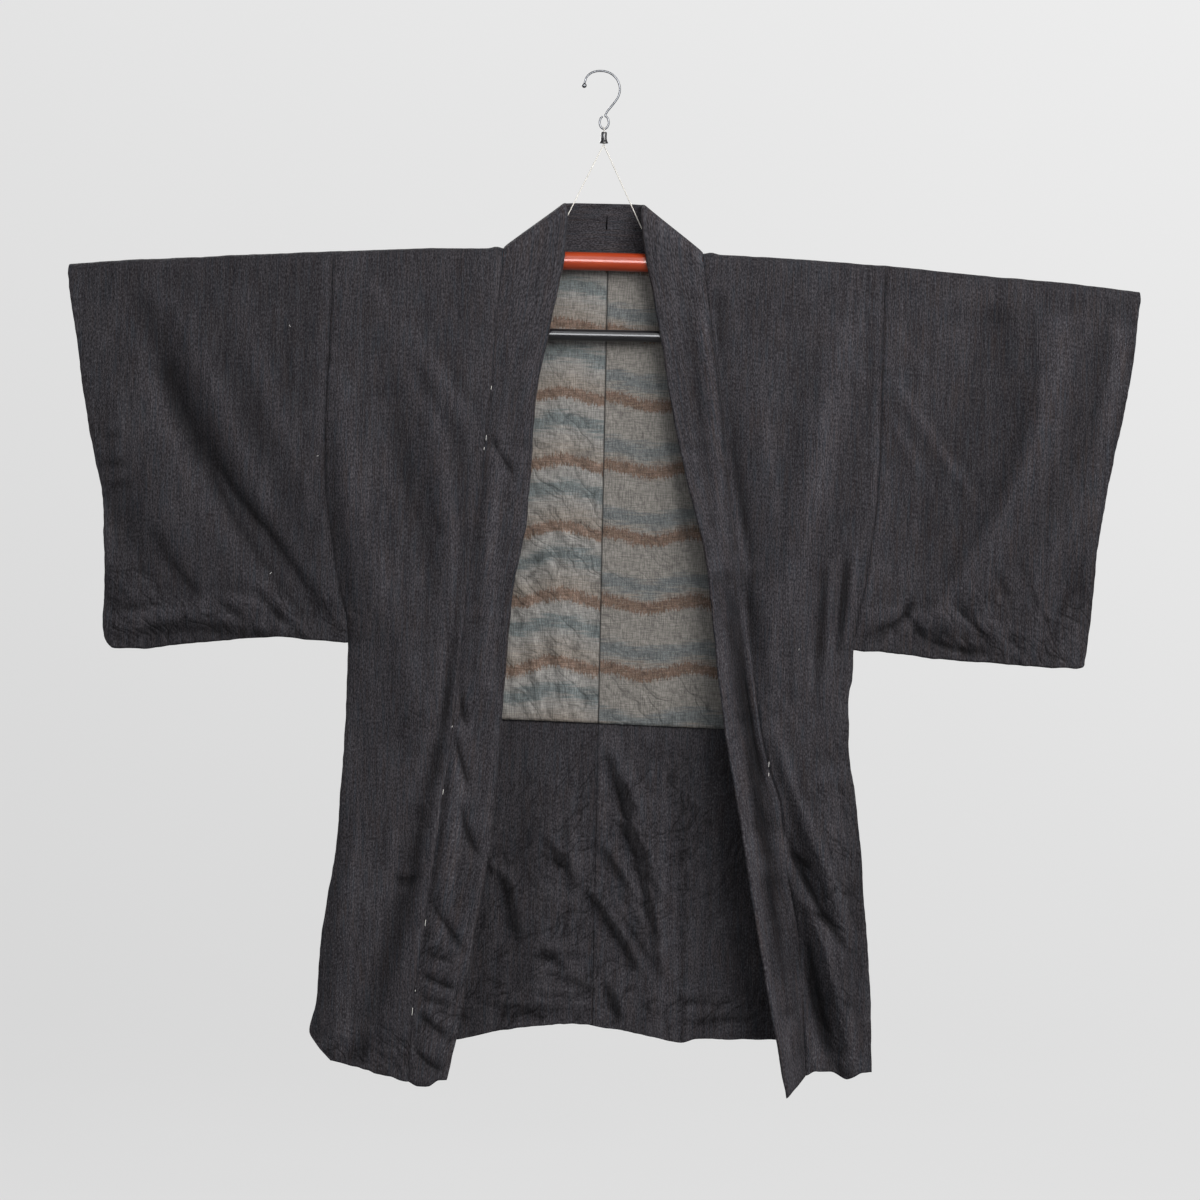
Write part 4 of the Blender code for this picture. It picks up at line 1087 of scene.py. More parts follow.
# %% Build the body panels
cloth = {}
for side in SIDES:
    node = f"body_{side.name}"
    grids, keep, _ = BODY[side.name]
    uv = (grids[0], path_length(*grids[:3]))  # its length is the way travelled from the back hem
    cloth[node] = sheet_piece(f"{node}_cloth", grids, keep, side.sign > 0, CLOTH, SILK[node], uv,
                              patches=(FRONT_PATCHES, BACK_PATCHES))

# %% [markdown]
# ## The sleeves
# A haori's sleeve is one oblong, folded over the shoulder and sewn along its foot. The cuff stays
# open above and is sewn up below, with its edge turned in. So it is a tube whose front and back
# faces draw together towards the foot and the lower cuff.

# %% Build the sleeves
SLEEVE_SHARES = fine_ends(80, (0.003, 0.007, 0.013, 0.022))
CUFF_BLEND = 95.0  # depth over which the open cuff closes into its sewn part
FOOT_STEPS = 6  # steps round the sleeve's rounded foot


def build_sleeve(side, material):
    """A tube of cloth folded over the bar and closed below, open at armhole and upper cuff."""
    shares = SLEEVE_SHARES
    down = ARM_DOWN[:, None]
    x, depth = fill_panel(partial(side_line, side),
                          lambda at: read(side.cuff, at) + ragged(at, 0.8, 69), shares, down,
                          (bar_start, partial(armhole_foot, side)))
    near_cuff = ease(shares * 4 - 3)  # only the last quarter of the width
    sewn = near_cuff * ease((depth - CUFF_OPENING + 20) / CUFF_BLEND)
    reach = mix(read(SLEEVE_REACH, down), SEWN_REACH, sewn)
    grown = ease((depth - bar_start(x)) / FOLD_FADE)
    from_cuff = read(side.cuff, depth) - x
    from_hem = read(side.sleeve_hem, x) - depth
    faces = []
    for front in (True, False):
        extra = pucker(from_hem, x, 1.5, 20, 7, 78 + front) + pucker(from_cuff, depth, 0.9, 12, 8, 91)
        extra = extra + 0.5 * np.exp(-((np.abs(from_cuff) - 9) / 4) ** 2)  # the turned-in edge
        faces.append(cloth_face(side, x, depth, reach, grown, front, extra))
    front_y, back_y = faces
    turn_x, turn_y, turn_depth = over_the_bar(x[0], back_y[0], front_y[0])
    angle = np.linspace(0, math.pi, FOOT_STEPS + 1)[1:-1, None]  # the foot, from front to back
    middle, half = (front_y[-1:] + back_y[-1:]) / 2, (back_y[-1:] - front_y[-1:]) / 2
    foot_y = middle - half * np.cos(angle)
    foot_depth = depth[-1:] + SEWN_REACH * np.sin(angle)
    foot_x = np.broadcast_to(x[-1:], foot_y.shape)
    grids = [np.vstack([x[::-1], turn_x, x, foot_x]),
             np.vstack([back_y[::-1], turn_y, front_y, foot_y]),
             np.vstack([depth[::-1], turn_depth, depth, foot_depth])]
    flat = np.zeros((1, len(shares)))
    grids.append(np.vstack([hollow(back_y)[::-1], np.repeat(flat, FOLD_STEPS - 1, 0),
                            hollow(-front_y), np.repeat(flat, FOOT_STEPS - 1, 0)]))
    along = path_length(*grids[:3])
    return sheet_piece(f"sleeve_{side.name}_cloth", grids, None, side.sign > 0, CLOTH, material,
                       (grids[0], along), closed=True,
                       patches=(SHARED_PATCHES + FRONT_PATCHES, SHARED_PATCHES))


for side in SIDES:
    cloth[f"sleeve_{side.name}"] = build_sleeve(side, SILK[f"sleeve_{side.name}"])

# %% [markdown]
# ## The gussets
# A narrow panel is let in between front and back below each sleeve, widest at the hem. On the hanger
# it folds inward along its middle. Its edges are the body's own edge points, half a wall further in.

# %% Build the side gussets
GUSSET_SHARES = fine_ends(6, (0.06, 0.16))
GUSSET_TUCK = 9.0  # how far the gusset's middle is folded inward at the hem


def build_gusset(side, material):
    """The narrow side panel between the edges of front and back, folded a little inward."""
    (x, y, depth, _), _, _ = BODY[side.name]
    back_rows = slice(BACK_STEPS - ARM_STEPS, None, -1)
    front_rows = slice(BACK_STEPS + FOLD_STEPS + ARM_STEPS, None)
    down = np.linspace(0, 1, BACK_STEPS - ARM_STEPS + 1)[:, None]
    bow = (GUSSET_TUCK + 2 * noise(down * 9, 0.5, 94)) * down * np.sin(math.pi * GUSSET_SHARES) ** 2
    grids = []
    for part, nudge in ((x, 0), (y, CLOTH / 2), (depth, 0)):
        front = part[front_rows, -1:] + nudge
        back = part[back_rows, -1:] - nudge
        grids.append(mix(front, back, GUSSET_SHARES))
    grids[0] = grids[0] - side.sign * (bow + 0.4 * np.sin(math.pi * GUSSET_SHARES))
    # painted shade: the gusset's fold is marked hollow, so its colour darkens where it folds inward
    grids.append(ease(bow / GUSSET_TUCK) + 0 * grids[0])
    along = path_length(*grids[:3])
    return sheet_piece(f"gusset_{side.name}_cloth", grids, None, side.sign > 0, CLOTH, material,
                       (grids[1], along))


for side in SIDES:
    cloth[f"gusset_{side.name}"] = build_gusset(side, SILK["gusset"])

# %% [markdown]
# ## The lining's cloth
# The upper back is lined with soft silk, dyed so that brown bands wave across it at an even distance,
# with a toothed edge where the dye ran along the threads, and a blue-grey haze between them. Such a
# repeat needs no image: the share of the way from one band to the next is the fractional part of
# (depth - first band + swing * cos(2 pi (x - crest) / wave) + drift + feathering) / period. The two
# halves were cut from different places on the bolt, so their bands don't line up at the seam.

# %% Dyed silk
WAVE = 114.0  # mm from crest to crest across the cloth
PERIOD = 81.3  # mm from one brown band to the next
BAND = 0.082  # half of a band's share of the period
SOFT = 0.012  # how softly its edge ends
WHITE, BLACK = "#ffffff", "#000000"


def share_of_period(tree, down, feather, size):
    """Share of the way from one band to the next, each place moved by up to half that size in mm."""
    down = add(tree, "Math", (feather, size * MM, down), operation="MULTIPLY_ADD")
    down = add(tree, "Math", (down, -0.5 * size * MM), operation="ADD")
    down = add(tree, "Math", (down, 1 / (PERIOD * MM)), operation="MULTIPLY")
    return add(tree, "Math", (down,), operation="FRACT")


def waving_depth(tree, at, first_band, crest, swing):
    """Distance below the first band's wavy line, with a slow drift of 8 mm."""
    across = add(tree, "SeparateXYZ", (at,), "X")
    along = add(tree, "SeparateXYZ", (at,), "Y")
    turn = 2 * math.pi / (WAVE * MM)
    angle = add(tree, "Math", (across, turn, -crest * MM * turn), operation="MULTIPLY_ADD")
    wave = add(tree, "Math", (angle,), operation="COSINE")
    down = add(tree, "Math", (wave, swing * MM, along), operation="MULTIPLY_ADD")
    drift = grain(tree, at, 46, 60)
    down = add(tree, "Math", (drift, 8 * MM, down), operation="MULTIPLY_ADD")
    return add(tree, "Math", (down, -(first_band + 4) * MM), operation="ADD"), across


def dyed_silk(name, first_band, crest, swing, haze, tones, light):
    """Brown bands over a ground of cream, tan and blue streaks, then threads, specks and a painted
    shadow along the seam.
    """
    material, tree, shader = new_material(name, Roughness=0.7, Sheen_Weight=0.04,
                                          Specular_IOR_Level=0.08)
    at = add(tree, "UVMap", uv_map="flat")
    down, across = waving_depth(tree, at, first_band, crest, swing)
    cream, brown, dark_brown, blue, tan = tones
    teeth = share_of_period(tree, down, grain(tree, at, 1.9, 7, detail=1), 14)
    band = add(tree, "ValToRGB", (teeth,), stops=(
        (0, WHITE), (BAND - SOFT, WHITE), (BAND + SOFT, BLACK), (1 - BAND - SOFT, BLACK),
        (1 - BAND + SOFT, WHITE), (1, WHITE)))
    streaks = share_of_period(tree, down, grain(tree, at, 36, 3.2), 24)
    ground = add(tree, "ValToRGB", (streaks,), stops=(
        (0, tan), (0.14, cream), (haze[0] - 0.1, cream), (haze[0], blue), (haze[1], blue),
        (haze[1] + 0.1, cream), (0.87, tan), (1, tan)))
    core = add(tree, "MapRange", (grain(tree, at, 16, 3), 0.40, 0.60))
    dyed = add(tree, "Mix", {0: core, 6: linear(dark_brown), 7: linear(brown)}, 2, data_type="RGBA")
    tone = add(tree, "Mix", {0: band, 6: ground, 7: dyed}, 2, data_type="RGBA")
    for across_mm, along_mm, darkest in ((1.3, 12, "#d2d2d2"), (12, 1.4, "#dcdcdc")):
        yarn = add(tree, "ValToRGB", (grain(tree, at, across_mm, along_mm, detail=1),),
                   stops=((0.34, darkest), (0.62, WHITE)))
        tone = add(tree, "Mix", {0: 1.0, 6: tone, 7: yarn}, 2, data_type="RGBA", blend_type="MULTIPLY")
    specks = add(tree, "MapRange", (grain(tree, at, 1.6, 2.2, detail=0), 0.66, 0.76, 0, 0.16))
    tone = add(tree, "Mix", {0: specks, 6: tone, 7: linear("#a8a49c")}, 2, data_type="RGBA")
    # painted shadow: a near-black line along the centre seam, as the shade in the seam's gap
    from_seam = add(tree, "Math", (across,), operation="ABSOLUTE")
    seam = add(tree, "MapRange", (from_seam, 0.5 * MM, 1.3 * MM, 0.7, 0))
    tone = add(tree, "Mix", {0: seam, 6: tone, 7: linear("#1d1c1c")}, 2, data_type="RGBA")
    height = add(tree, "Math", (grain(tree, at, 0.8, 1.6, detail=1), grain(tree, at, 1.8, 20)),
                 operation="ADD")
    finish_cloth(tree, shader, at, tone, light, (1.18, 0.52), 0.45, (height, 0.4, 0.6), 1.15)
    return material


DYED = {
    "left": dyed_silk("dyed_silk_left", 558.5, -1, 4.5, (0.65, 0.76),
                      ("#88847f", "#786357", "#6b594d", "#6d7172", "#817972"), 0.88),
    "right": dyed_silk("dyed_silk_right", 472.5, -51, 6.0, (0.35, 0.46),
                       ("#918f8c", "#7e6a5e", "#705d51", "#6e7576", "#8a827a"), 0.95),
}
print("brown bands every", PERIOD, "mm, waving every", WAVE, "mm")

# %% [markdown]
# ## The lining
# The lining is sewn in only at its edges, so it follows the back but has creases of its own. The
# back's cloth lets none of them go outward. So the lining is the back's own points, moved in past
# the wall, plus creases that may only add to the distance.

# %% Build the lining
LINING_CLOTH = 1.2
LINING_GAP = 0.5
LINING_DROP = 1.5  # the lining's upper edge hangs this far under the collar's seam
LINING_COLUMNS = 44
LINING_CREASES = table(Fold,
    (-106, 706, -101, 740, -98, 782, 3.4, 3.8),
    (-93, 690, -87, 735, -83, 780, 3.4, 4.4),
    (-80, 716, -74, 750, -69, 784, 3.4, 3.4),
    (-67, 684, -60, 735, -55, 784, 3.4, 4.8),
    (-52, 704, -45, 745, -40, 782, 3.4, 3.8),
    (-38, 664, -30, 730, -26, 784, 3.4, 4.4),
    (-22, 712, -16, 750, -13, 784, 3.4, 3.2),
    (-62, 560, -50, 600, -34, 628, 3, 2.0),
    (-40, 530, -28, 566, -10, 596, 3, 2.0),
    (-86, 600, -74, 640, -58, 668, 3, 2.0),
    (-26, 610, -16, 650, -4, 680, 3, 2.0),
    (-20, 330, -30, 420, -50, 520, 10, 1.2),
    (-60, 560, -30, 640, -10, 760, 8, 1.4),
    (70, 360, 84, 500, 120, 640, 12, 1),
)
LINING_PATCHES = table(Patch,
    (-50, 560, 66, 220, 55, 13, 40, 1.7, 51),
    (-60, 740, 64, 56, 84, 11, 40, 1.8, 52),
    (90, 560, 80, 240, 60, 16, 52, 0.5, 53),
    (90, 760, 90, 30, 70, 11, 26, 1.0, 54),
)


def build_lining(side, material):
    """The back's own points, moved in past its wall, from the neck to the lining's hem, with
    creases of their own that stand only inward."""
    (x, y, depth, _), _, neck = BODY[side.name]
    rows = slice(len(UNLINED_DOWN) - 1, BACK_STEPS + 1)
    columns = slice(0, neck + LINING_COLUMNS + 1)
    x, depth = x[rows, columns], depth[rows, columns].copy()
    depth[-1] += LINING_DROP
    inward = relief(LINING_CREASES, x, depth, thin=True) + crinkles(LINING_PATCHES, x, depth)
    inward = inward + pucker(x - BACK_SEAM, depth, 0.8, 12, 9, 76) - ditch(x - BACK_SEAM)
    inward = inward + pucker(depth - read(LINING_HEM, x), x, 0.8, 16, 9, 77)
    inward = soft_floor(inward + 0.8, 0)
    y = y[rows, columns] - CLOTH - LINING_GAP - inward
    grids = (x, y, depth, hollow(-y))
    return sheet_piece(f"lining_{side.name}_cloth", grids, None, side.sign > 0, LINING_CLOTH,
                       material, (x - BACK_SEAM, depth), patches=(LINING_PATCHES, LINING_PATCHES))


for side in SIDES:
    cloth[f"lining_{side.name}"] = build_lining(side, DYED[side.name])

# %% [markdown]
# ## The collar
# The collar is one long band, folded in half lengthways, that is sewn to both fronts and round the
# back of the neck. On the fronts it lies flat; behind the neck it stands up, and over each shoulder it
# turns from one to the other. A path sweep would twist there, so the band is ruled instead: each row
# joins a point on the sewn edge, taken from the body, to a point on the folded edge.

# %% The collar's own sizes
COLLAR_CLOTH = 3.0  # the whole band, folded over on itself
COLLAR_WALL = 0.8  # each of the band's two layers
COLLAR_ROUND = 2.4  # how far in from the folded edge its rounding starts
COLLAR_HALF = ((0, 0.9), (0.06, 1.6), (0.3, 1.9), (1, 1.9))  # middle to face, across the band
COLLAR_BLEND = 60.0  # depth over which the collar leaves its turn, and is drawn into its foot
CORNER_EASE = 1.0  # more room for the collar where it turns over the shoulder
CREASED_FROM, CREASED_OVER = 250.0, 80.0  # depth where its creases begin, and over which they grow
COLLAR_SHARES = fine_ends(16, (0.012, 0.028, 0.05))

# The folded edge's place round the neck: turn, out, y and depth. turn is 0 at the centre back, 1
# where the band starts over the shoulder and 2 where it has come to the front.
FOLD_TURN = np.array(((0, 0, 11, 160), (0.28, 17, 11.5, 160), (0.57, 31, 11.5, 160),
                      (0.8, 40, 10, 160.4), (1, 44.5, 7, 161), (1.33, 46.5, 1, 162.3),
                      (1.5, 46.5, -4, 163.5), (1.67, 46, -9.5, 165.5), (2, 44, -15, 172)))
COLLAR_CREASES = table(Fold,
    (-124, 442, -112, 466, -92, 492, 3, -4),
    (-160, 738, -154, 760, -147, 790, 3.5, -5.6),
    (-158, 800, -152, 830, -142, 862, 4, -6),
    (-151, 878, -146, 922, -122, 948, 4, -4.4),
    (-182, 998, -164, 1030, -142, 1058, 4, -5.5),
    (-192, 1058, -176, 1066, -158, 1070, 3.5, -2.6),
    (-197, 1082, -172, 1098, -148, 1103, 3.5, -4.2),
    (-198, 1108, -176, 1120, -158, 1122, 3.5, -3),
    (-198, 1130, -176, 1150, -156, 1161, 3.5, -4),
    (-203, 1170, -184, 1194, -163, 1200, 3.5, -4.2),
    (-70, 300, -84, 420, -96, 560, 9, 1.4),
    (120, 244, 140, 400, 152, 524, 6, 1.4),
    (150, 510, 158, 620, 163, 760, 6, 2.2),
    (198, 864, 212, 912, 228, 964, 3.5, -2.2),
    (190, 900, 214, 1040, 240, 1160, 8, -1.6),
    (8, 224, 8, 205, 8, 190, 3, -2),
)
COLLAR_FOLDS = table(Fold,
    (156, 610, 200, 830, 240, 1120, 15, -8),
    (122, 244, 140, 400, 154, 524, 9, 2.4),
    (-112, 420, -122, 560, -124, 740, 11, 1.8),
    (-150, 800, -160, 950, -176, 1100, 12, 2.5),
)
COLLAR_PATCHES = table(Patch,
    (-170, 1080, 45, 150, 30, 12, 36, 1.2, 41),
    (-120, 620, 50, 240, 45, 14, 44, 0.5, 42),
    (150, 800, 70, 320, 50, 14, 44, 0.6, 43),
)
print("creases across the collar:", len(COLLAR_CREASES))

# %% Half of the collar
def collar_half(side):
    """x, y and depth of the collar's middle surface from the centre back to one front's foot,
    and the distance from each row to the foot. The sewn edge follows the panel's own edge."""
    (body_x, body_y, body_depth, _), _, neck = BODY[side.name]

    def edge(part):
        """The panel's edge at the neck: its last back row behind it, then down the front."""
        return np.concatenate([part[BACK_STEPS, :neck], part[BACK_STEPS:, neck]])

    x, y, depth = edge(body_x), edge(body_y), edge(body_depth)
    behind = neck + 1
    turned_rows = neck + FOLD_STEPS
    round_bar = np.clip(y / FOLD_REACH, -1, 1)
    seam_y = y - COLLAR_CLOTH / 2 * round_bar
    seam_depth = depth.copy()
    seam_x = x.copy()
    seam_x[0] = BACK_SEAM
    bar_rows = slice(neck, turned_rows)
    seam_x[bar_rows] -= side.sign * CORNER_EASE
    seam_depth[neck] -= CORNER_EASE

    out = x - NECK_CENTRE
    turn = np.abs(out) / NECK_OUT
    angle = np.arccos(round_bar[behind:turned_rows])
    turn[behind:turned_rows] = 1 + angle / math.pi
    fold_out, fold_y, fold_depth = (read(FOLD_TURN[:, [0, k]], turn) for k in (1, 2, 3))
    fold_x = NECK_CENTRE + np.sign(out) * fold_out
    front = slice(turned_rows, None)
    fold_depth[front] = read(side.collar_tilt, depth[front])
    fold_x[front] = read(side.collar_fold, fold_depth[front])
    fold_x[front] += ragged(fold_depth[front], 0.6, 92 + side.sign)
    fold_y[front] = seam_y[front] - read(side.collar_lift, depth[front])

    shares = COLLAR_SHARES
    down_front = ease((depth - depth[turned_rows]) / COLLAR_BLEND)[:, None]
    level = mix(shares, ease(shares), down_front)
    foot = ease((depth - depth[-1]) / COLLAR_BLEND + 1)[:, None]
    foot = foot * (np.arange(len(x)) > turned_rows)[:, None]
    grids = [mix(seam_x[:, None], fold_x[:, None], shares),
             mix(seam_y[:, None], fold_y[:, None], level),
             mix(seam_depth[:, None], fold_depth[:, None], shares)
             + read(side.collar_end, shares) * foot]
    across, _, down = grids
    grown = ease((down - CREASED_FROM) / CREASED_OVER) * (np.arange(len(x)) > turned_rows)[:, None]
    own = FOLD_GAIN * relief(COLLAR_FOLDS, across, down)
    own = own + relief(COLLAR_CREASES, across, down, thin=True)
    own = own + crinkles(COLLAR_PATCHES, across, down) + 0.5 * noise(across / 24, down / 70, 93)
    grids[1] = grids[1] - own * grown * ease(shares * 5) * ease((1 - shares) * 5 + 0.3)
    to_foot = np.abs(depth - depth[-1]) + FAR * (np.arange(len(x)) <= turned_rows)
    return grids, to_foot


HALVES = [collar_half(side) for side in SIDES]
print("rows in each half of the collar:", [len(to_foot) for _, to_foot in HALVES])

# %% [markdown]
# ## Two layers and a rounded edge
# The band's middle surface isn't what one sees: it has a layer on either side of it. Both lie half the
# band's thickness off along the normals and meet in a rounding at the folded edge.

# %% Build the collar
def normals(points):
    """Unit normals of a grid of points, from the cross product of its two directions."""
    across = np.gradient(points, axis=1)
    along = np.gradient(points, axis=0)
    out = np.cross(along, across)
    return out / np.linalg.norm(out, axis=-1, keepdims=True)


def build_collar(material):
    """One band folded in half: up the right front, round the neck and down the left front. Both
    layers lie half the band's thickness from its middle surface and meet in a rounded edge."""
    (right, right_foot), (left, left_foot) = HALVES
    x, y, depth = [np.vstack([a[::-1], b[1:]]) for a, b in zip(right, left)]
    to_foot = np.concatenate([right_foot[::-1], left_foot[1:]])[:, None]
    points = np.stack([x, y, -depth], axis=-1)
    out = normals(points)
    out *= -np.sign(out[len(right_foot) // 6, 3, 1])  # on the front, outward is towards -y
    width = np.linalg.norm(np.diff(points, axis=1), axis=-1).sum(axis=1, keepdims=True)
    from_fold = (1 - COLLAR_SHARES) * width
    half = read(COLLAR_HALF, COLLAR_SHARES)
    rounding = np.clip(from_fold / COLLAR_ROUND, 0, 1)
    half = half * np.sqrt(1 - (1 - rounding) ** 2)
    half = mix(COLLAR_WALL, half, ease(to_foot / 5)) * (from_fold > 1e-6)
    outer, inner = points + out * half[..., None], points - out * half[..., None]
    loop = np.concatenate([outer, inner[:, -2::-1]], axis=1)
    usual = float(np.median(width))
    across = np.hstack([COLLAR_SHARES, 2 - COLLAR_SHARES[-2::-1]]) * usual + 0 * to_foot
    along = path_length(*np.moveaxis(np.repeat(points[:, :1], loop.shape[1], axis=1), -1, 0))
    height = hollow(-y)
    grids = (loop[..., 0], loop[..., 1], -loop[..., 2], np.hstack([height, -height[:, -2::-1]]))
    return sheet_piece("collar_band", grids, None, True, COLLAR_WALL, material, (across, along),
                       patches=(COLLAR_PATCHES, COLLAR_PATCHES))


cloth["collar"] = build_collar(SILK["collar"])
print("cloth pieces:", len(cloth))

# %% [markdown]
# ## Round things
# Bars, wire, string and stitches are all circles carried along a route. Here every ring has its own
# radius and place, so a rod can end in a rounded edge, a tube can stay open for its wall, and a
# turned piece is the same stack of rings along a straight line.

# %% Skins over rings
SHARP_ANGLE = 50


def ring_skin(name, rings, material, ends="closed"):
    """A skin over a stack of rings of points. Its ends are closed by a flat face each, left open
    for a wall, or joined, the last ring to the first."""
    number = np.arange(rings.shape[0] * rings.shape[1]).reshape(rings.shape[:2])
    rows = np.vstack([number, number[:1]]) if ends == "joined" else number
    polygons = quads(np.hstack([rows, rows[:, :1]])).reshape(-1, 4).tolist()
    if ends == "closed":
        polygons += [number[0][::-1].tolist(), number[-1].tolist()]
    mesh = bpy.data.meshes.new(name)
    mesh.from_pydata(rings.reshape(-1, 3).tolist(), [], polygons)
    mesh.validate()
    mesh.shade_smooth()
    mesh.set_sharp_from_angle(angle=math.radians(SHARP_ANGLE))
    mesh.materials.append(material)
    return add_object(name, mesh)


print("edges that turn by more than", SHARP_ANGLE, "degrees stay sharp")

# %% Rods and turned pieces
def circle(axis, side, around):
    """A circle of radius 1 round the axis: side * cos(angle) + (axis x side) * sin(angle)."""
    angle = np.linspace(0, 2 * math.pi, around, endpoint=False)[:, None]
    return side * np.cos(angle) + np.cross(axis, side) * np.sin(angle)


def tube(name, route, radius, around, material, ends=None):
    """A round rod along a route in metres. Each ring stands square to the route, turned from the
    last one by as little as possible. `ends` are extra (ahead, radius) rows in mm that close the
    rod at both ends; without them the tube stays open."""
    route = np.asarray(route, float)
    radii = np.full(len(route), float(radius))
    if ends:
        first = (route[0] - route[1]) / np.linalg.norm(route[0] - route[1])
        last = (route[-1] - route[-2]) / np.linalg.norm(route[-1] - route[-2])
        head = [route[0] + first * ahead * MM for ahead, _ in ends[::-1]]
        tail = [route[-1] + last * ahead * MM for ahead, _ in ends]
        route = np.vstack([head, route, tail])
        radii = np.concatenate([[r for _, r in ends[::-1]], radii, [r for _, r in ends]])
    tangent = np.gradient(route, axis=0)
    tangent /= np.maximum(np.linalg.norm(tangent, axis=1, keepdims=True), 1e-12)
    side = np.cross(tangent[0], (0.1, 1, 0.2))
    rings = []
    for point, ahead, r in zip(route, tangent, radii):
        side = side - ahead * side.dot(ahead)
        side /= np.linalg.norm(side)
        rings.append(point + r * MM * circle(ahead, side, around))
    return ring_skin(name, np.array(rings), material, "closed" if ends else "open")


def turned(name, profile, around, centre, axis, material, ends="closed"):
    """A profile of (radius, height) rows in mm turned round an axis through the centre."""
    axis = np.asarray(axis, float) / np.linalg.norm(axis)
    side = np.cross(axis, (0.3, 1, 0.2))
    side /= np.linalg.norm(side)
    round_axis = circle(axis, side, around)
    rings = [centre + (axis * h + round_axis * r) * MM for r, h in profile]
    return ring_skin(name, np.array(rings), material, ends)


def rounded(radius, edge):
    """End rows of a rod of that radius whose edge is rounded off."""
    turn = np.radians([20, 45, 70, 90])
    return tuple((edge * math.sin(a), radius - edge * (1 - math.cos(a))) for a in turn)


print("a rod's rounded end in mm:", np.round(rounded(8, 2), 1).tolist())

# %% [markdown]
# ## Small finishes
# Lacquer, plastic, plated wire and thread differ in gloss and colour, but each is slightly uneven:
# lacquer pools, moulded plastic clouds, wire shows its drawing marks and thread its twist. So one
# recipe mixes two tones by a noise of the right size in millimetres, and lets it vary the gloss.

# %% Two tones and a gloss
def smooth_finish(name, tones, gloss, spot, relief_size=0.0, **fixed):
    """tones are the dark and the pale hex code, gloss the lowest and highest roughness, spot the
    noise's size along each axis in mm, relief_size its height in mm."""
    material, tree, shader = new_material(name, **fixed)
    at = add(tree, "TexCoord", output="Object")
    scaled = add(tree, "Mapping", {"Vector": at, "Scale": tuple(1000 / size for size in spot)})
    cloud = add(tree, "TexNoise", {"Vector": scaled, "Scale": 1, "Detail": 3})
    tone = add(tree, "ValToRGB", (cloud,), stops=tuple(zip((0.35, 0.65), tones)))
    tree.links.new(tone, shader.inputs["Base Color"])
    rough = add(tree, "MapRange", (cloud, 0.3, 0.7, *gloss))
    tree.links.new(rough, shader.inputs["Roughness"])
    if relief_size:
        lift = add(tree, "Bump", {"Height": cloud, "Strength": 0.4, "Distance": relief_size * MM})
        tree.links.new(lift, shader.inputs["Normal"])
    return material


# Sprayed lacquer on a metal tube: orange-red, with a clear coat that mirrors the window softly.
lacquer = smooth_finish("sprayed_red_lacquer", ("#97300a", "#a63b11"), (0.3, 0.42), (60, 9, 9),
                        Coat_Weight=1.0, Coat_Roughness=0.23, Specular_IOR_Level=0.05)
# Moulded black plastic: nearly black, with long highlights that show its roundness.
black = smooth_finish("moulded_black_plastic", ("#0e0d11", "#161519"), (0.24, 0.36), (40, 6, 6),
                      Coat_Weight=0.6, Coat_Roughness=0.17, Specular_IOR_Level=0.29)
# Drawn and plated steel wire: grey metal with soft reflections, even all along.
steel = smooth_finish("plated_steel", ("#545557", "#66676a"), (0.32, 0.38), (20, 20, 30),
                      Metallic=1.0)
# Braided cotton: dull and nearly white, with a relief as coarse as its braid.
cord = smooth_finish("cotton_string", ("#c4c0b8", "#e6e3dc"), (0.8, 0.95), (0.5, 0.5, 1.2), 0.2)
thread = smooth_finish("basting_thread", ("#c9c7c4", "#efeeeb"), (0.7, 0.9), (0.5, 0.5, 0.5))
dark_thread = smooth_finish("dark_thread", ("#020203", "#050506"), (0.8, 0.95), (0.5, 0.5, 0.5),
                            Specular_IOR_Level=0.03)
print("small finishes:", [m.name for m in (lacquer, black, steel, cord, thread, dark_thread)])

# %% [markdown]
# ## Threads on the cloth
# The collar is held down by white basting stitches, and a few bits of pale lint cling to the cloth.
# Each is a thin rod that comes out of the cloth, lies on it and goes in again. Its place is given by
# x and depth alone, and the height is read from the cloth's own points, so it follows every fold.

# %% Stitches and lint
# x, depth, length in mm, and degrees from upright
BASTING = ((-109.0, 241, 5, 8), (-124.2, 385, 4, 4), (-129.0, 445, 6, 4), (-131.2, 458, 3, 4),
           (-162.4, 791, 2, 6), (-171.4, 869, 6, 6), (-189.0, 1025, 7, 6), (-199.3, 1106, 2, 0),
           (-202.2, 1131, 9, 4), (216.6, 828, 6, 4), (216.8, 840, 4, 4))
LINT = ((-384.5, 612, 3, 40), (-366.5, 316, 2.4, -30), (-330, 471, 2, 75), (250, 690, 2, 10))
NECK_TACK = (9.8, 181.5, 17, 2)  # one dark stitch inside the back of the neck
SLEEVE_STARTS = -325  # x left of which lint lies on the right sleeve
NEAR = 0.003  # metres round a place in which the cloth's highest point is looked for
SUNK = 0.3  # mm that a thread's ends go into the cloth
small = []


def on_front(piece, x, depth):
    """The piece's own point nearest to x and depth, in metres: of those within reach, the one
    that stands furthest out at the front."""
    points = np.zeros(3 * len(piece.data.vertices), np.float32)
    piece.data.vertices.foreach_get("co", points)
    points = points.reshape(-1, 3)
    target = place(x, 0, depth)
    away = np.hypot(points[:, 0] - target[0], points[:, 2] - target[2])
    close = points[away < max(NEAR, away.min() * 1.5)]
    return np.array([target[0], close[:, 1].min(), target[2]])


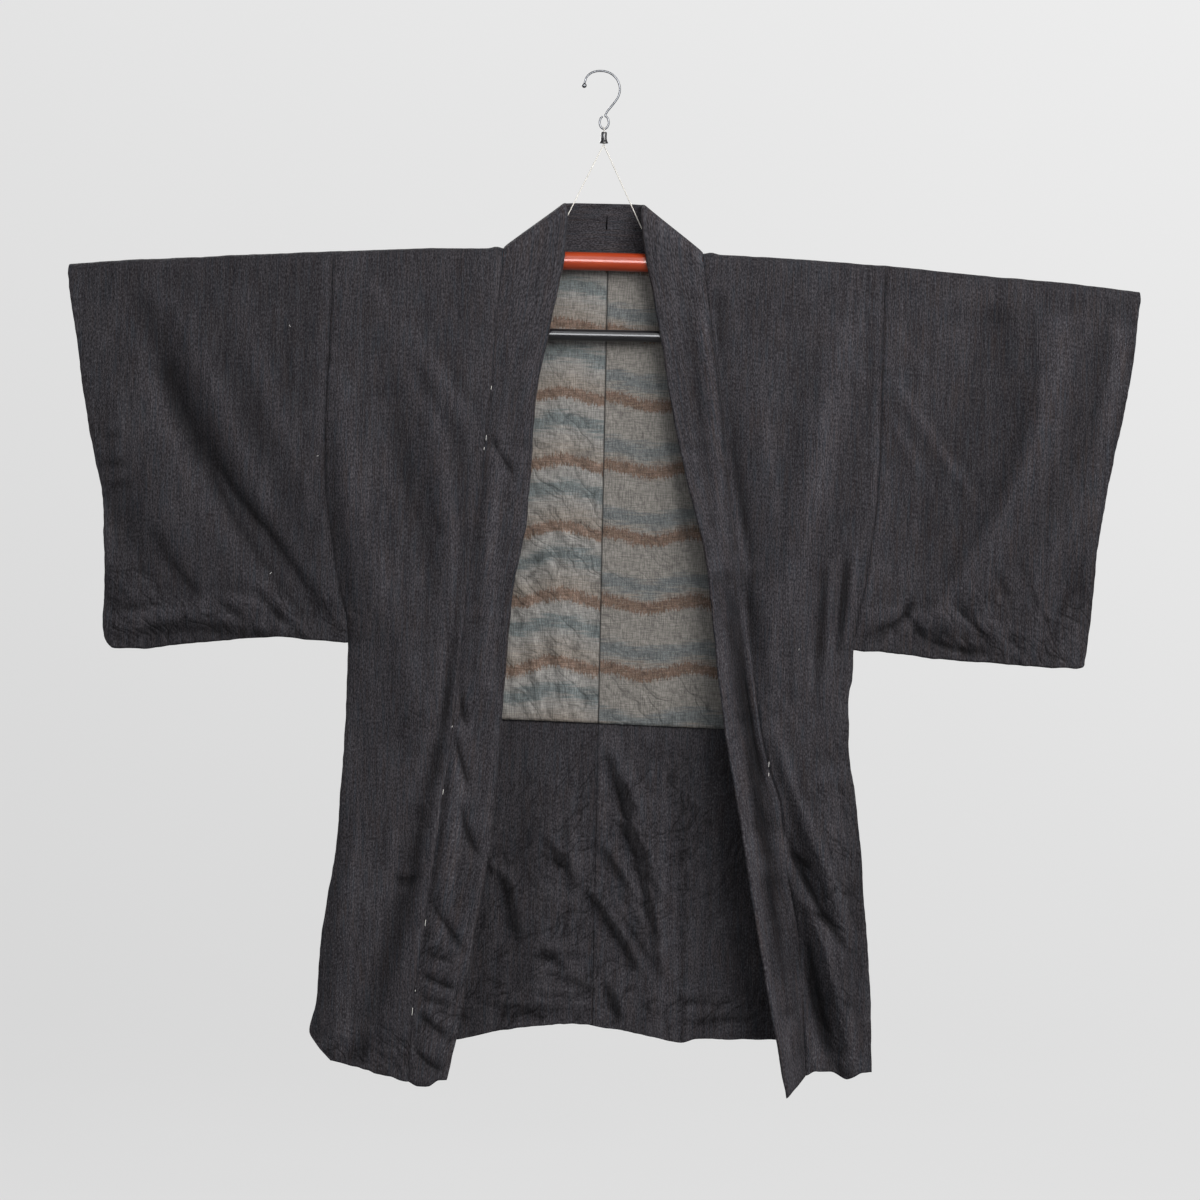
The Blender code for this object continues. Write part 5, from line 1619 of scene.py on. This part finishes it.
def stitch_points(pieces, x, depth, length, lean, lift):
    """A short thread that comes out of the cloth, lies on it and goes in again."""
    turn = math.radians(lean)
    share = np.linspace(-0.5, 0.5, 7)
    across = x + share * length * math.sin(turn)
    down = depth - share * length * math.cos(turn)
    at = np.array([min((on_front(piece, a, d) for piece in pieces), key=lambda p: p[1])
                   for a, d in zip(across, down)])
    at[:, 1] = at[:, 1].min() - lift * MM * (1 - (2 * share) ** 4) + SUNK * MM
    return at


def lay_thread(name, nodes, row, lift, radius, around, material, end):
    """A thread on the named cut pieces, where its row says; lift and radius are in mm."""
    route = stitch_points([cloth[node] for node in nodes], *row, lift)
    small.append(tube(name, route, radius, around, material, ends=(end,)))


for k, row in enumerate(BASTING, 1):
    nodes = ("collar", "body_right" if row[0] < 0 else "body_left")
    lay_thread(f"basting_stitch_{k}", nodes, row, 0.55, 0.32, 8, thread, (0.2, 0.16))
for k, row in enumerate(LINT, 1):
    node = "sleeve_right" if row[0] < SLEEVE_STARTS else "body_left" if row[0] > 0 else "body_right"
    lay_thread(f"lint_{k}", (node,), row, 0.5, 0.22, 6, thread, (0.1, 0.1))
lay_thread("neck_tack", ("collar",), NECK_TACK, 0.8, 0.75, 8, dark_thread, (0.3, 0.4))
print("stitches and lint:", len(small))

# %% [markdown]
# ## The bar and its rods
# A kimono hanger is a lacquered tube with a plastic rod in each end, drawn out to the length of the
# sleeves. Under the jacket's weight it bows, so its axis is taken from the shoulder line that rests on
# it. The tube is open, with a real wall, and each rod carries a cap that keeps the cuff from sliding
# off.

# %% Tube, rods and caps
HANGER_CENTRE = 4.0
BAR_RADIUS = 11.0
BAR_STEP = 38.0  # the bar bends a little at each step of this length
TUBE_STEPS = 6  # steps from the middle to each end of the tube
ROD_START_STEP = 4
ROD_END_STEP = 15
TUBE_WALL = 2.2
ROD_RADIUS = 7.9
CAP_LENGTH = 16.0
CAP_RADIUS = 10.3
hanger = {}


def bar_axis(out):
    """Depth of the bar's axis under the shoulder line it carries."""
    return read(TOP_LINE, HANGER_CENTRE + out) + CLOTH + SEAM_GAP + BAR_RADIUS


def bar_route(first, last):
    """The bar's axis between two of its steps, counted outward from the middle."""
    out = np.linspace(first, last, 4 * abs(last - first) + 1) * BAR_STEP
    return place(HANGER_CENTRE + out, 0, bar_axis(out))


def make_cap(side):
    """A turned cap with a domed end, square to the rod's last step."""
    reach = side.sign * ROD_END_STEP * BAR_STEP
    drop = bar_axis(reach) - bar_axis(reach - side.sign * BAR_STEP)
    slope = math.atan(drop / BAR_STEP)
    half = CAP_LENGTH / 2
    ahead = SEAM_GAP + half
    centre = place(HANGER_CENTRE + reach + side.sign * ahead * math.cos(slope), 0,
                   bar_axis(reach) + ahead * math.sin(slope))
    profile = ((3, half), (6, half), (7.8, half - 0.8), (9.2, half - 2.4), (CAP_RADIUS, half - 6),
               (CAP_RADIUS, 0.8 - half), (CAP_RADIUS - 0.8, -half), (3, -half))
    axis = (side.sign * math.cos(slope), 0, -math.sin(slope))
    return turned(f"cap_{side.name}_skin", profile, 36, centre, axis, black)


pipe = tube("hanger_tube_skin", bar_route(-TUBE_STEPS, TUBE_STEPS), BAR_RADIUS, 48, lacquer)
give_wall(pipe, TUBE_WALL)
hanger["hanger_tube"] = pipe
for side in SIDES:
    route = bar_route(side.sign * ROD_START_STEP, side.sign * ROD_END_STEP)
    hanger[f"hanger_rod_{side.name}"] = tube(f"rod_{side.name}_skin", route, ROD_RADIUS, 32, black,
                                             ends=rounded(ROD_RADIUS, 0.6))
    hanger[f"hanger_cap_{side.name}"] = make_cap(side)
print("the bar drops this far to its ends in mm:",
      [(bar_axis(s.sign * ROD_END_STEP * BAR_STEP) - bar_axis(0)).round(1) for s in SIDES])

# %% [markdown]
# ## The lower bar
# A second, thinner bar hangs under the first from two posts; trousers would go over it. The posts end
# just clear of both bars, as the solids do.

# %% Lower bar and posts
LOWER_BAR_RADIUS = 7.0
LOWER_BAR_DEPTH = 318.5
LOWER_BAR_REACH = 185.0
LINK_OUT = 165.0
LINK_RADIUS = 2.6

for side in SIDES:
    out = side.sign * LINK_OUT
    ends = np.array([LOWER_BAR_DEPTH - LOWER_BAR_RADIUS - SEAM_GAP,
                     bar_axis(out) + BAR_RADIUS + SEAM_GAP])
    hanger[f"bar_link_{side.name}"] = tube(f"link_{side.name}_skin",
                                           place(HANGER_CENTRE + out, 0, ends), LINK_RADIUS, 20,
                                           black, ends=((0.01, 2.4),))
route = place(HANGER_CENTRE + np.linspace(-1, 1, 9) * (LOWER_BAR_REACH - 2), 0, LOWER_BAR_DEPTH)
hanger["lower_bar"] = tube("lower_bar_skin", route, LOWER_BAR_RADIUS, 36, black,
                           ends=rounded(LOWER_BAR_RADIUS, 2))
print("lower bar in mm:", 2 * LOWER_BAR_REACH, "long and", 2 * LOWER_BAR_RADIUS, "thick")

# %% [markdown]
# ## The wire hook
# The hook is one bent wire: a wide crook, a long shank and a small eye at its foot, with a ball on the
# tip so that it doesn't scratch. The bend is a smooth curve through given points, and the eye is an
# arc.

# %% Hook, eye and ball
EYE_DEPTH = 62.9
EYE_HALF_WIDTH = 5.4
EYE_HALF_HEIGHT = 7.8
TIP_RADIUS = 2.9
HOOK_BEND = ((-20.4, 0, 16), (-18.6, 0, 9.6), (-13.5, 0, 4.3), (-7, 0, 1.8), (0, 0, 1.25),
             (7.5, 0, 2.6), (15, 0, 7.2), (20, 0, 14), (22, 0, 22.5), (20.5, 0, 31), (16, 0, 38.5),
             (11, 0, 45), (7, 0, 50.5))  # x, y, depth


def curve_through(points, count):
    """`count` points evenly along a smooth curve through the given ones."""
    points = np.array(points, float)
    lengths = np.linalg.norm(np.diff(points, axis=0), axis=1)
    keys = np.concatenate([[0], np.cumsum(lengths)])
    at = np.linspace(0, keys[-1], count)
    slopes = np.gradient(points, keys, axis=0)
    return np.stack([hermite(keys, points[:, k], slopes[:, k], at) for k in range(3)], axis=1)


turn = np.radians(np.linspace(75, -242, 21))
eye = np.stack([HANGER_CENTRE + EYE_HALF_WIDTH * np.cos(turn), 0 * turn,
                EYE_DEPTH - EYE_HALF_HEIGHT * np.sin(turn)], axis=1)
route = curve_through(list(HOOK_BEND) + eye.tolist(), 150)
hanger["hook_wire"] = tube("hook_wire_skin", place(*route.T), HOOK_WIRE / 2, 20, steel,
                           ends=rounded(HOOK_WIRE / 2, 0.5))
turn = np.radians(np.linspace(-86, 86, 21))
ball = [(TIP_RADIUS * math.cos(a), TIP_RADIUS * math.sin(a)) for a in turn]
centre = place(-20.8, 0, 16 + TIP_RADIUS + SEAM_GAP)
hanger["hook_tip"] = turned("hook_tip_skin", ball, 28, centre, (0, 0, 1), steel)
print("wire in the hook in mm:", np.linalg.norm(np.diff(route, axis=0), axis=1).sum().round())

# %% [markdown]
# ## Bead and string
# The string is wound round the bar on both sides, runs up through a flared black bead, and goes over
# the foot of the eye. Both legs lie close together in the bead, so its hole is only a little wider.

# %% Bead
STRING = 1.3
STRING_ROOM = 1.35  # inside the bead, beside the string's two legs
BEAD_TOP = 74.5

hole = STRING / 2 + STRING_ROOM
profile = ((hole, -0.3), (hole + 0.3, 0), (3, 0), (3.4, -0.5), (3.6, -1.2), (3.45, -5), (3.5, -8),
           (4.3, -11), (5.3, -12.8), (5.3, -13.2), (5, -13.4), (hole + 0.3, -13.4), (hole, -13))
hanger["hook_bead"] = turned("hook_bead_skin", profile, 32, place(HANGER_CENTRE, 0, BEAD_TOP),
                             (0, 0, 1), black, ends="joined")
print("hole in the bead in mm:", 2 * hole)

# %% String
STRING_OUT = 62.0


def string_leg(sign):
    """One leg from the bar up to the bead: almost a whole turn round the bar, then a straight run."""
    around = BAR_RADIUS + 1.5 * SEAM_GAP + STRING / 2
    turn = np.radians(np.linspace(70, 400, 45))
    x = HANGER_CENTRE + sign * (STRING_OUT + np.linspace(0, 3, len(turn)))
    axis = bar_axis(sign * STRING_OUT)
    ring = np.stack([x, sign * around * np.cos(turn), axis - around * np.sin(turn)], axis=1)
    above = [(HANGER_CENTRE + sign * (STRING_OUT - 1.6), sign * 1.6, axis - around - 3.2),
             (HANGER_CENTRE, sign * 1.0, BEAD_TOP + 15),
             (HANGER_CENTRE, sign * 1.0, BEAD_TOP + 1),
             (HANGER_CENTRE, sign * 2.0, BEAD_TOP - 2.6)]
    return np.vstack([ring[::-1], above])


wrap = HOOK_WIRE / 2 + SEAM_GAP + STRING / 2
over = np.radians(np.linspace(180, 0, 13))
loop = np.stack([np.full(13, HANGER_CENTRE), wrap * np.cos(over),
                 EYE_DEPTH + EYE_HALF_HEIGHT - wrap * np.sin(over)], axis=1)
route = np.vstack([string_leg(-1), loop, string_leg(1)[::-1]])
hanger["hanger_string"] = tube("hanger_string_skin", place(*route.T), STRING / 2, 12, cord,
                               ends=((0.2, 0.5), (0.35, 0.25)))
print("hanger pieces:", ", ".join(hanger))

# %% [markdown]
# ## The room
# A dark jacket on a pale ground needs a ground that is even and slightly brighter towards the window.
# The floor rises into a round wall through a wide fillet, in one turned profile, so no corner shows.
# It glows by itself and lights nothing: the light on the cloth then comes from the lamps alone, and
# stays the same whatever the paper looks like.

# %% Floor and wall
FLOOR, WALL_RADIUS, FILLET, WALL_TOP = -1.95, 9.0, 2.6, 7.0  # metres


def make_bowl():
    """Floor and wall in one skin, which only the camera sees."""
    turn = np.radians(np.linspace(-90, 0, 17))
    profile = [(0.0, FLOOR), (1.5, FLOOR), (WALL_RADIUS - FILLET - 0.4, FLOOR)]
    profile += [(WALL_RADIUS - FILLET + FILLET * math.cos(a), FLOOR + FILLET + FILLET * math.sin(a))
                for a in turn]
    profile.append((WALL_RADIUS, WALL_TOP))
    material, tree, shader = new_material("studio_paper", Roughness=0.95, Specular_IOR_Level=0.1,
                                          Emission_Strength=1.0)
    at = add(tree, "TexCoord", output="Object")
    glow = 0.745
    # painted light: the glow grows paler towards the window, to the right and upward
    for axis, change in (("X", 0.0165), ("Z", 0.028)):  # paler to the right and upward
        part = add(tree, "SeparateXYZ", (at,), axis)
        glow = add(tree, "Math", (part, change, glow), operation="MULTIPLY_ADD")
    glow = add(tree, "MapRange", (glow, 0.62, 0.86, 0.62, 0.86))  # and never beyond these
    tree.links.new(glow, shader.inputs["Emission Color"])
    cloud = add(tree, "TexNoise", {"Vector": at, "Scale": 1.2, "Detail": 2})
    paper = add(tree, "ValToRGB", (cloud,), stops=((0.3, "#39393a"), (0.7, "#3e3e3f")))
    tree.links.new(paper, shader.inputs["Base Color"])
    upright = circle((0, 0, 1), np.array((1, 0, 0)), 96)
    rings = np.array([upright * r + (0, 0, z) for r, z in profile])[:, ::-1]
    bowl = ring_skin("studio_bowl", rings, material, ends="open")
    bowl.visible_diffuse = False
    bowl.visible_glossy = False
    bowl.visible_shadow = False
    return bowl


make_bowl()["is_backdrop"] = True
print("the floor lies", -FLOOR, "m under the hook")

# %% [markdown]
# ## Light
# The cloth is nearly black, so its folds show only by light that rakes across them. A large soft
# window stands to the right of the camera and does most of the work; weaker ones above, on the left
# and behind keep the far sides readable. The bars need a highlight that the cloth must not get, so one
# lamp gives reflections only.

# %% Lamps
def area_light(name, place_at, aim, size, power, colour, diffuse=True):
    """A lamp of that width and height in metres and power in watts, turned towards its aim."""
    light = bpy.data.lights.new(name, "AREA")
    light.shape = "RECTANGLE"
    light.size, light.size_y = size
    light.energy = power
    light.color = colour
    lamp = add_object(name, light)
    lamp.location = place_at
    lamp.visible_camera = False
    lamp.visible_diffuse = diffuse
    lamp.rotation_euler = (Vector(aim) - Vector(place_at)).to_track_quat("-Z", "Y").to_euler()


MIDDLE = (0, 0, -0.65)
area_light("window_right", (2.5, -3.45, 1.7), MIDDLE, (3.2, 2.6), 262, (1.0, 0.985, 0.965))
area_light("window_above", (0, -1.9, 1.75), (0, 0, -0.3), (1.2, 1.5), 12, (0.97, 0.98, 1.0))
area_light("gloss_front", (0.25, -2.2, 0.02), (0, 0, -0.24), (2.4, 0.9), 95, (0.96, 0.975, 1.0),
           diffuse=False)
area_light("room_left", (-3.2, -2.4, 0.2), MIDDLE, (2.2, 2.2), 26, (0.94, 0.97, 1.0))
area_light("room_back", (-1.8, 3.4, 1.4), MIDDLE, (2.4, 2.0), 90, (1.0, 1.0, 1.0))
world = bpy.data.worlds.new("soft_room")
world.use_nodes = True
backdrop = world.node_tree.nodes["Background"]
backdrop.inputs["Color"].default_value = (1, 1, 1, 1)
backdrop.inputs["Strength"].default_value = 0.29
bpy.context.scene.world = world
bpy.context.scene.view_settings.view_transform = "Standard"
print("lamps:", len(bpy.data.lights))

# %% [markdown]
# ## Camera
# The jacket is seen straight from the front, from a little over four metres, so the two sleeves keep
# their true lengths. It hangs a touch out of true, which the camera's small roll shows.

# %% Camera
camera_data = bpy.data.cameras.new("camera")
camera_data.lens = 110
camera_data.sensor_width = 36
camera = add_object("camera", camera_data)
camera.location = (0.011, -4.4, -0.6335)
camera.rotation_euler = (math.pi / 2, math.radians(-1.2), 0)
bpy.context.scene.camera = camera
print("camera at", tuple(round(value, 3) for value in camera.location), "m")

# %% [markdown]
# ## What each piece is
# Every piece rides on the one body, because cloth has no joints, and the solid it stands for, which
# carries its collision and weight, is hidden. The body panel is 330 mm wide and 1.95 m long, the
# width of the bolt less its seams, and its front is cut back beside the neck.

# %% Bodies and solids
for node, piece in {**cloth, **hanger}.items():
    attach(piece, "root")
    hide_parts(node)
for piece in small:
    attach(piece, "root")
print("pieces:", len(cloth) + len(hanger) + len(small))

# %% [markdown]
# ## Size
# The cloth may stand a little proud of its solids, never far. Both boxes are printed, so that they
# can be compared.

# %% Boxes and finish
shown = [list(corner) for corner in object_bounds()]
print("CAD box and visual box in mm:")
for box in (cad_box, shown):
    print([[round(1000 * value, 1) for value in corner] for corner in box])
